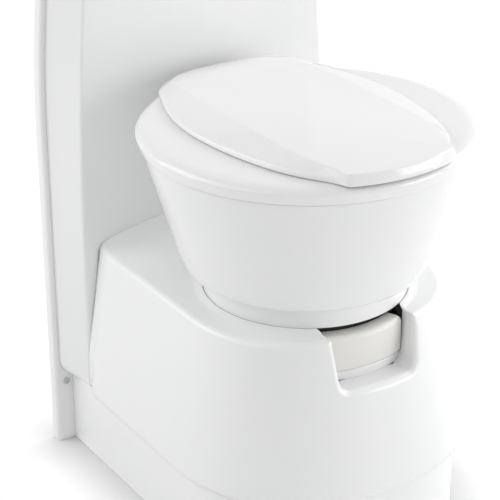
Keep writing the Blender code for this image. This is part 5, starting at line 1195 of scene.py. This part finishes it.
@dataclass
class Seat:
    """The seat ring: a flat top with soft edges, a parting line at its widest and a skirt below."""

    radius: float = 0.195
    edge: float = 0.016
    equator: float = 0.487
    skirt: float = 0.4785
    skirt_drop: float = 0.0036
    skirt_inset: float = 0.0034
    skirt_wall: float = 0.0054
    hole_half: float = 0.113
    hole_front: float = 0.137
    hole_round: float = 0.007
    cut_half: float = 0.066
    cut_y: float = 0.157
    cut_round: float = 0.006
    # Towards the cut the edge rounding fades to this share, from this angle on and over this many degrees
    cut_share: float = 0.25
    fade_from: float = 138.0
    fade_over: float = 18.0
    # How far the lug's arm reaches into the seat, and how far behind the hinge's axis it starts
    arm_reach: float = 0.006
    arm_start: float = 0.010
    lug: tuple[float, float] = (0.022, 0.034)

    def outline(self) -> tuple[Array, Array, Array]:
        """Half the outer outline, on the +X side from the front to the middle of the rear cut.

        Returns:
            Its points relative to the bowl's axis, the angle of the hole's point that each is joined to, and
            how much of the full edge rounding each has.
        """
        half, turn = self.cut_half, self.cut_round
        tip = math.degrees(math.asin((half + turn) / self.radius))
        angle = np.linspace(0, 180 - tip, 110)
        ring = self.radius * np.stack([np.sin(np.radians(angle)), -np.cos(np.radians(angle))], axis=1)
        corner = np.array([half, math.sqrt(self.radius**2 - half**2) - 0.0008])
        after = np.array([half, corner[1] - turn])
        inner = np.array([half, self.cut_y])
        before, beyond = inner + np.array([0, turn]), inner - np.array([turn, 0])
        side = after + (before - after) * np.linspace(0, 1, 6)[1:-1, None]
        across = np.stack([beyond[0] * (1 - np.linspace(0, 1, 12)[1:]), np.full(11, self.cut_y)], axis=1)
        tip_curve = bent(ring[-1], corner, after)[1:]
        points = np.concatenate([ring, tip_curve, side, bent(before, inner, beyond), across])
        hole = np.concatenate(
            [
                np.interp(angle, [0, 120, 180 - tip], [0, 120, 148]),
                np.linspace(148, 150, 8)[1:],
                np.linspace(150, 153, 6)[1:-1],
                np.linspace(153, 157, 8),
                np.linspace(157, 180, 12)[1:],
            ]
        )
        rounding = np.full(len(points), self.cut_share)
        fade = ease((angle - self.fade_from) / self.fade_over)
        rounding[: len(angle)] = 1 - (1 - self.cut_share) * fade
        return points, hole, rounding

    def ring(self, surface: Surface) -> None:
        """The ring as one grid: outer profile round the outline, hole profile round the oval, joined flat."""
        half, hole, rounding = self.outline()
        loop = np.concatenate([half, mirrored(half[1:-1])])
        angle = np.radians(np.concatenate([hole, -hole[1:-1][::-1]]))
        scale = np.concatenate([rounding, rounding[1:-1][::-1]])
        equator, slant, wall = self.equator, self.skirt_inset, self.skirt_wall
        low = self.skirt - self.skirt_drop * ease((scale - self.cut_share) / (1 - self.cut_share))
        outer: list[tuple[Array | float, Array | float]] = [(self.edge * 1.04 * scale, SEAT_TOP)]
        for sine, cosine in zip(*stretch_sine(np.linspace(0, 1, 12))):
            outer.append((self.edge * (1 - sine) * scale, equator + (SEAT_TOP - equator) * cosine))
        outer += [
            (0.0005, equator - 0.0004),
            (0.0007, equator - 0.0012),
            (0.0007 + 0.45 * (slant - 0.0007), (equator - 0.0012) * 0.5 + low * 0.5),
            (slant, low + 0.0009),
            (slant + 0.0003, low + 0.0003),
            (slant + 0.0008, low),
            (wall - 0.0004, low),
            (wall, low + 0.0004),
            (wall, SEAT_UNDER),
        ]
        inner: list[tuple[float, float]] = []
        middle, turn = (SEAT_UNDER + SEAT_TOP) / 2, self.hole_round
        for sine, cosine in zip(*stretch_sine(np.linspace(0, 1, 8))):
            inner.append((turn * (1 - sine), SEAT_UNDER + (middle - SEAT_UNDER) * (1 - cosine)))
        for sine, cosine in zip(*stretch_sine(np.linspace(0, 1, 8)[1:])):
            inner.append((turn * (1 - cosine), middle + (SEAT_TOP - middle) * sine))
        inner.append((turn * 1.15, SEAT_TOP))
        rows = [(inset_loop(loop, inset), z) for inset, z in outer]
        for inset, z in inner:
            across, along = self.hole_half + inset, self.hole_front + inset
            rows.append((np.stack([across * np.sin(angle), -along * np.cos(angle)], axis=1), z))
        rows = [laid(flat + np.array([0.0, BOWL_Y]), z, Axis.Z) for flat, z in rows]
        surface.grid(np.stack(rows), across=True, along=True)

    def build(self) -> None:
        """Makes the seat with its two hinge lugs."""
        surface = Surface()
        self.ring(surface)
        reach, back = BOWL_Y + self.cut_y - self.arm_reach, HINGE_Y - self.arm_start
        low, high = SEAT_UNDER + GAP, SEAT_TOP - GAP
        head = arc((HINGE_Y, HINGE_Z), LUG_RADIUS, np.radians(np.linspace(90, -90, 22)))
        arm = [(back, low), (reach, low), (reach, high), (back, high)]
        lug(surface, np.concatenate([head, arm]), self.lug)
        dress(surface.object("seat"), Body.SEAT, SEAT_ABS, "seat_ring")


@dataclass
class Lid:
    """The barrel-shaped lid: a near-vertical lip, a broad sloping flank and a crowned top.

    The edge and the crease have their shares of half their width at stations from the rear to the front. The
    flank goes across and up by its shares from the edge to the crease.
    """

    half: float = 0.1345
    crease_half: float = 0.0905
    front: float = 0.1965
    rear: float = WALL_Y - 0.084
    corner: float = WALL_Y - 0.124
    lean: float = 0.003
    crown: float = 0.0030
    rise: tuple[float, float, float] = (0.0122, 0.0172, 0.0074)
    lift: tuple[float, float, float] = (0.0007, 0.0013, 0.0015)
    wall: float = 0.003
    stations: Shares = (0.0, 0.05, 0.10, 0.20, 0.30, 0.40, 0.50, 0.60, 0.70, 0.80, 0.90, 0.95, 1.0)
    edge_shares: Shares = (
        *(0.743, 0.796, 0.848, 0.933, 0.983, 0.9985, 0.985),
        *(0.950, 0.894, 0.810, 0.670, 0.584, 0.526),
    )
    crease_shares: Shares = (
        *(0.93, 0.948, 0.962, 0.975, 0.98, 0.980, 0.985),
        *(0.997, 0.995, 0.967, 0.895, 0.832, 0.766),
    )
    flank: Shares = (0.0, 0.14, 0.30, 0.50, 0.74, 1.0)
    flank_across: Shares = (0.0, 0.012, 0.070, 0.29, 0.66, 1.0)
    flank_up: Shares = (0.0, 0.20, 0.37, 0.56, 0.80, 1.0)
    spine_share: float = 0.62
    lug: tuple[float, float] = (0.0445, 0.056)
    lug_top: float = SEAT_TOP + 0.0042

    def outline(self, half: float, shares: Sequence[float], front: float, lean: float) -> Array:
        """A closed barrel outline as (count, 2) that starts at the middle of the rear.

        The side's half width is a smooth curve through its stations, the front is part of a circle about the
        bowl's axis, and the rear bows out by a cube.

        Args:
            half: the largest half width.
            shares: the part of it at each station.
            front: the front's radius.
            lean: how far the rear is drawn in.
        """
        at = np.linspace(0, 1, 120)
        width = half * smooth_through(at, self.stations, shares)
        corner, rear = self.corner - lean, self.rear - lean
        front_y = BOWL_Y - math.sqrt(front**2 - width[-1] ** 2)
        side = np.stack([-width, corner + (front_y - corner) * at], axis=1)
        rear_x = width[0] * np.sin(np.linspace(0, 1, 31)[:-1] * math.pi / 2)
        rear_y = corner + (rear - corner) * (1 - (rear_x / width[0]) ** 3)
        front_x = width[-1] * (1 - np.linspace(0, 1, 29)[1:])
        front_edge = np.stack([-front_x, BOWL_Y - np.sqrt(front**2 - front_x**2)], axis=1)
        left = np.concatenate([np.stack([-rear_x, rear_y], axis=1), side, front_edge])
        loop = np.concatenate([left, mirrored(left[1:-1])])
        for _ in range(2):
            loop = (np.roll(loop, 1, 0) + 2 * loop + np.roll(loop, -1, 0)) / 4
        return loop

    def blend(self, y: Array, front: float, middle: float, rear: float) -> Array:
        """A height that eases from its middle value to others at the two ends, by a square."""
        reach = self.front / 2
        front_ease = np.maximum(1 - (y - (BOWL_Y - self.front)) / reach, 0) ** 2
        rear_ease = np.maximum(1 - (self.rear - y) / reach, 0) ** 2
        return middle + (front - middle) * front_ease + (rear - middle) * rear_ease

    def top(self, surface: Surface) -> None:
        """The upper face: the edge's loop rises to the crease by a curve, and the top crowns to its spine."""
        edge = self.outline(self.half, self.edge_shares, self.front, 0.0)
        crease = self.outline(self.crease_half, self.crease_shares, self.front - self.lean, self.lean)
        low = SEAT_TOP + self.blend(edge[:, 1], *self.lift)
        high = SEAT_TOP + self.blend(crease[:, 1], *self.rise)
        at = np.linspace(0, 1, 26)
        across, up = (smooth_through(at, self.flank, share) for share in (self.flank_across, self.flank_up))
        flat = edge + (crease - edge) * across[:, None, None]
        height = low + (high - low) * up[:, None]
        y = crease[:, 1] - BOWL_Y
        spine_y = BOWL_Y + y / (1 + np.abs(y / (self.spine_share * self.front)) ** 5) ** 0.2
        spine = np.stack([np.zeros_like(y), spine_y], axis=1)
        share = (1 - at[1:])[:, None, None]
        top_flat = spine + (crease - spine) * share
        rise = self.blend(top_flat[..., 1], *self.rise)
        top_height = SEAT_TOP + rise + self.crown * (1 - share[..., 0] ** 2)
        rows = np.concatenate([laid(flat, height, Axis.Z), laid(top_flat, top_height, Axis.Z)])
        surface.grid(rows, across=True)

    def build(self) -> None:
        """Makes the lid with a wall and its two hinge lugs."""
        surface = Surface()
        self.top(surface)
        obj = thicken(surface.object("cover", (0, BOWL_Y, SEAT_TOP - 0.05), 60), self.wall)
        lugs = Surface()
        foot = arc((HINGE_Y, HINGE_Z), LUG_RADIUS, np.radians(np.linspace(0, -180, 22)))
        ends = [(HINGE_Y - LUG_RADIUS, self.lug_top), (HINGE_Y + LUG_RADIUS, self.lug_top)]
        lug(lugs, np.concatenate([foot, ends]), self.lug)
        dress(obj, Body.LID, SEAT_ABS, "lid")
        dress(lugs.object("cover_lugs"), Body.LID, SEAT_ABS)


@dataclass
class Panel:
    """The control panel on the console: bezel, flush button and level window."""

    half: tuple[float, float] = (0.055, 0.022)
    corner: float = 0.006
    rise: float = 0.0035
    edge: float = 0.0011
    window: tuple[float, float] = (0.024, BUTTON_AT[1])
    window_half: tuple[float, float] = (0.014, 0.005)
    window_round: float = 0.0012
    pane_half: tuple[float, float] = (0.0134, 0.0044)
    pane_round: float = 0.001
    pane_rise: float = 0.0034
    pane_edge: float = 0.0004
    button: float = 0.0145
    button_rise: float = 0.0065
    button_depth: float = 0.0085

    def build(self) -> None:
        """Makes the three pieces."""
        front, tip = CONSOLE_FRONT, CONSOLE_FRONT - self.button_rise
        outline = plate((0.0, BUTTON_AT[1]), self.half, self.corner, 10)
        window = plate(self.window, self.window_half, self.window_round, 5)
        holes = [circle(BUTTON_AT, BUTTON_HOLE), window]
        bezel = slab(Surface(), outline, front - self.rise, front, self.edge, Axis.Y, holes)
        dress(bezel.object("bezel"), Body.BASE, PALE_PP, "panel_bezel")
        corners = [
            (0, tip + 0.0012, 0),
            (0.006, tip + 0.0009, 0.02),
            (0.0115, tip, 0.002),
            (self.button, tip, 0.0016),
            (self.button, tip + self.button_depth, 0.0006),
            (0, tip + self.button_depth, 0),
        ]
        button = lathe(Surface(), rounded(corners, 7), BUTTON_AT, Axis.Y, 96)
        dress(button.object("push_button"), Body.BUTTON, GLOSS_ABS, "flush_button")
        pane = plate(self.window, self.pane_half, self.pane_round, 5)
        glass = slab(Surface(), pane, front - self.pane_rise, front - GAP, self.pane_edge, Axis.Y)
        dress(glass.object("level_glass"), Body.BASE, SMOKED, "level_window")


@dataclass
class Hardware:
    """Screws, and the service parts behind and below, with their edges softened."""

    screw_x: float = 0.187
    screw_z: float = 0.086

    def screws(self) -> None:
        """Makes the round-headed screws: a dome from a fine rim to a flat, with a shallow round socket."""
        head = FRAME_FRONT
        corners = [
            (0.0, head - 0.0012, 0.0),
            (0.0016, head - 0.0014, 0.0004),
            (0.0018, head - 0.0028, 0.0005),
            (0.0036, head - 0.0025, 0.0030),
            (0.0048, head, 0.0010),
            (0.0023, head, 0.0002),
            (0.0022, head + 0.0095, 0.0006),
            (0.0, head + 0.0101, 0.0),
        ]
        for name, sign in (("left", -1), ("right", 1)):
            centre = (sign * self.screw_x, self.screw_z)
            surface = lathe(Surface(), rounded(corners, 6), centre, Axis.Y, 48)
            dress(surface.object(f"screw_{name}"), Body.BASE, PALE_PP, f"frame_screw_{name}")

    def build(self) -> None:
        """Makes the screws and softens the service parts."""
        self.screws()
        softened("waste_tank", "cassette_tank", Body.CASSETTE, PALE_PP, 0.0012)
        softened("handle_bar", "carry_handle", Body.HANDLE, STEEL, 0.0004, 50)
        softened("emptying_spout", "pour_spout", Body.SPOUT, DARK_NYLON, 0.0006, 50)
        softened("spout_screw_cap", "spout_cap", Body.SPOUT_CAP, DARK_NYLON, 0.0006, 40)
        softened("filler_screw_cap", "filler_cap", Body.FILLER_CAP, DARK_NYLON, 0.0006, 40)


# Nodes whose shape is right, and the finish that each gets
CARRIED_OVER: dict[Finish, tuple[str, ...]] = {
    PALE_PP: ("support_deck", "bearing_ring"),
    RUBBER: (
        *("outlet_seal", "inlet_seal", "lid_buffer_left", "lid_buffer_right"),
        *("seat_buffer_front_left", "seat_buffer_front_right"),
        *("seat_buffer_rear_left", "seat_buffer_rear_right"),
    ),
    NATURAL_PE: ("flush_tank",),
    PUMP_ACETAL: ("flush_pump",),
    DARK_NYLON: (
        *("flush_elbow", "flush_hose", "drive_ring", "blade_housing", "vent_button"),
        *("cassette_wheel_left", "cassette_wheel_right"),
    ),
    STEEL: ("slide_blade", "wheel_pin_left", "wheel_pin_right"),
}


def dress_nodes() -> None:
    """Gives every carried-over node its finish."""
    for finish, names in CARRIED_OVER.items():
        for name in names:
            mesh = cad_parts[name].data
            mesh.materials.clear()
            mesh.materials.append(finish.material())


# Studio


@dataclass(frozen=True)
class Softbox:
    """A square soft lamp, placed round the object by azimuth and elevation, aimed at it."""

    name: str
    azimuth: float
    elevation: float
    distance: float
    size: float
    power: float
    aim: tuple[float, float, float] = (0.0, 0.0, 0.35)

    def build(self) -> None:
        """Adds the lamp."""
        turn, lift = math.radians(self.azimuth), math.radians(self.elevation)
        away = Vector((math.sin(turn) * math.cos(lift), -math.cos(turn) * math.cos(lift), math.sin(lift)))
        lamp = bpy.data.lights.new(self.name, "AREA")
        lamp.size = self.size
        lamp.energy = self.power
        obj = linked(self.name, lamp)
        obj.location = Vector(self.aim) + away * self.distance
        obj.rotation_euler = away.to_track_quat("Z", "Y").to_euler()


@dataclass
class Studio:
    """A pale floor under soft lamps, and the photograph's viewpoint."""

    ambient: float = 0.53
    floor_glow: float = 0.56
    floor_shade: float = 0.55
    # How far the painted contact shadow reaches, and how steeply it falls off: an occlusion mask that dims
    # the floor's glow near the pieces
    painted_shadow_reach: float = 0.072
    painted_shadow_power: float = 1.6
    eye: tuple[float, float, float] = (-1.073, -1.62475, 1.237)
    tilt: float = 64.8
    turn: float = -32.9
    lens: float = 129.67
    shift: tuple[float, float] = (-0.0376, -0.0082)
    lamps: tuple[Softbox, ...] = (
        Softbox("left_rear", -125.0, 30.0, 2.6, 1.8, 22.0),
        Softbox("left", -78.0, 33.0, 2.6, 1.6, 8.0),
        Softbox("right", 90.0, 30.0, 2.6, 1.8, 34.0),
        Softbox("front_fill", 40.0, 11.0, 2.6, 1.4, 20.0),
    )

    def world(self) -> None:
        """A plain sky that is white where it is seen directly, through a clear piece or in a reflection."""
        world = bpy.data.worlds.new("studio")
        bpy.context.scene.world = world
        world.use_nodes = True
        tree = world.node_tree
        path = node(tree, "ShaderNodeLightPath", {}).outputs
        seen = worked(tree, "MAXIMUM", path["Is Camera Ray"], path["Is Transmission Ray"])
        seen = worked(tree, "MAXIMUM", seen, path["Is Glossy Ray"])
        strength = node(tree, "ShaderNodeMapRange", {"Value": seen, "To Min": self.ambient, "To Max": 1.0})
        sky = {"Color": (1, 1, 1, 1), "Strength": strength.outputs["Result"]}
        feed(tree, tree.nodes["Background"], sky)

    def floor(self) -> None:
        """A wide matt floor that reads as white. Its camera-only glow is dimmed by an occlusion mask where a
        piece stands close, a painted contact shadow added to the lamps' real shadow.
        """
        side = np.linspace(-5, 5, 3)
        x, y = np.meshgrid(side, side)
        sheet = np.stack([x, y, np.full_like(x, -0.0004)], axis=-1)
        obj = Surface().grid(sheet).object("floor", (0, 0, -1))
        material = bpy.data.materials.new("pale_studio_floor")
        material.use_nodes = True
        tree = material.node_tree
        seen = node(tree, "ShaderNodeLightPath", {}).outputs["Is Camera Ray"]
        shade = (self.floor_shade, self.floor_shade, self.floor_shade, 1.0)
        # Painted contact shadow: occlusion near a piece dims the camera-only glow
        near = node(tree, "ShaderNodeAmbientOcclusion", {"Distance": self.painted_shadow_reach}).outputs["AO"]
        painted_shadow_share = worked(tree, "POWER", near, self.painted_shadow_power)
        glow = worked(tree, "MULTIPLY", seen, self.floor_glow)
        inputs = {
            "Base Color": blend_of(tree, seen, linear("#F4F4F4"), shade),
            "Roughness": 0.9,
            "Specular IOR Level": 0.0,
            "Emission Color": (1, 1, 1, 1),
            "Emission Strength": worked(tree, "MULTIPLY", glow, painted_shadow_share),
        }
        feed(tree, tree.nodes["Principled BSDF"], inputs)
        obj.data.materials.append(material)

    def camera(self) -> None:
        """The photograph's viewpoint: from the front left, a little above the lid."""
        data = bpy.data.cameras.new("view")
        data.sensor_width = 36.0
        data.lens = self.lens
        data.shift_x, data.shift_y = self.shift
        obj = linked("view", data)
        obj.location = self.eye
        obj.rotation_euler = (math.radians(self.tilt), 0.0, math.radians(self.turn))
        bpy.context.scene.camera = obj

    def build(self) -> None:
        """Sets up the whole studio."""
        self.world()
        self.floor()
        self.camera()
        for lamp in self.lamps:
            lamp.build()
        bpy.context.scene.view_settings.view_transform = "Standard"


def main() -> None:
    """Builds each sub-assembly, dresses the nodes that stay, and sets up the studio."""
    for assembly in (Console(), Base(), Lever(), Bowl(), Seat(), Lid(), Panel(), Hardware()):
        log.info("building %s", type(assembly).__name__)
        assembly.build()
    dress_nodes()
    Studio().build()


if __name__ == "__main__":
    main()
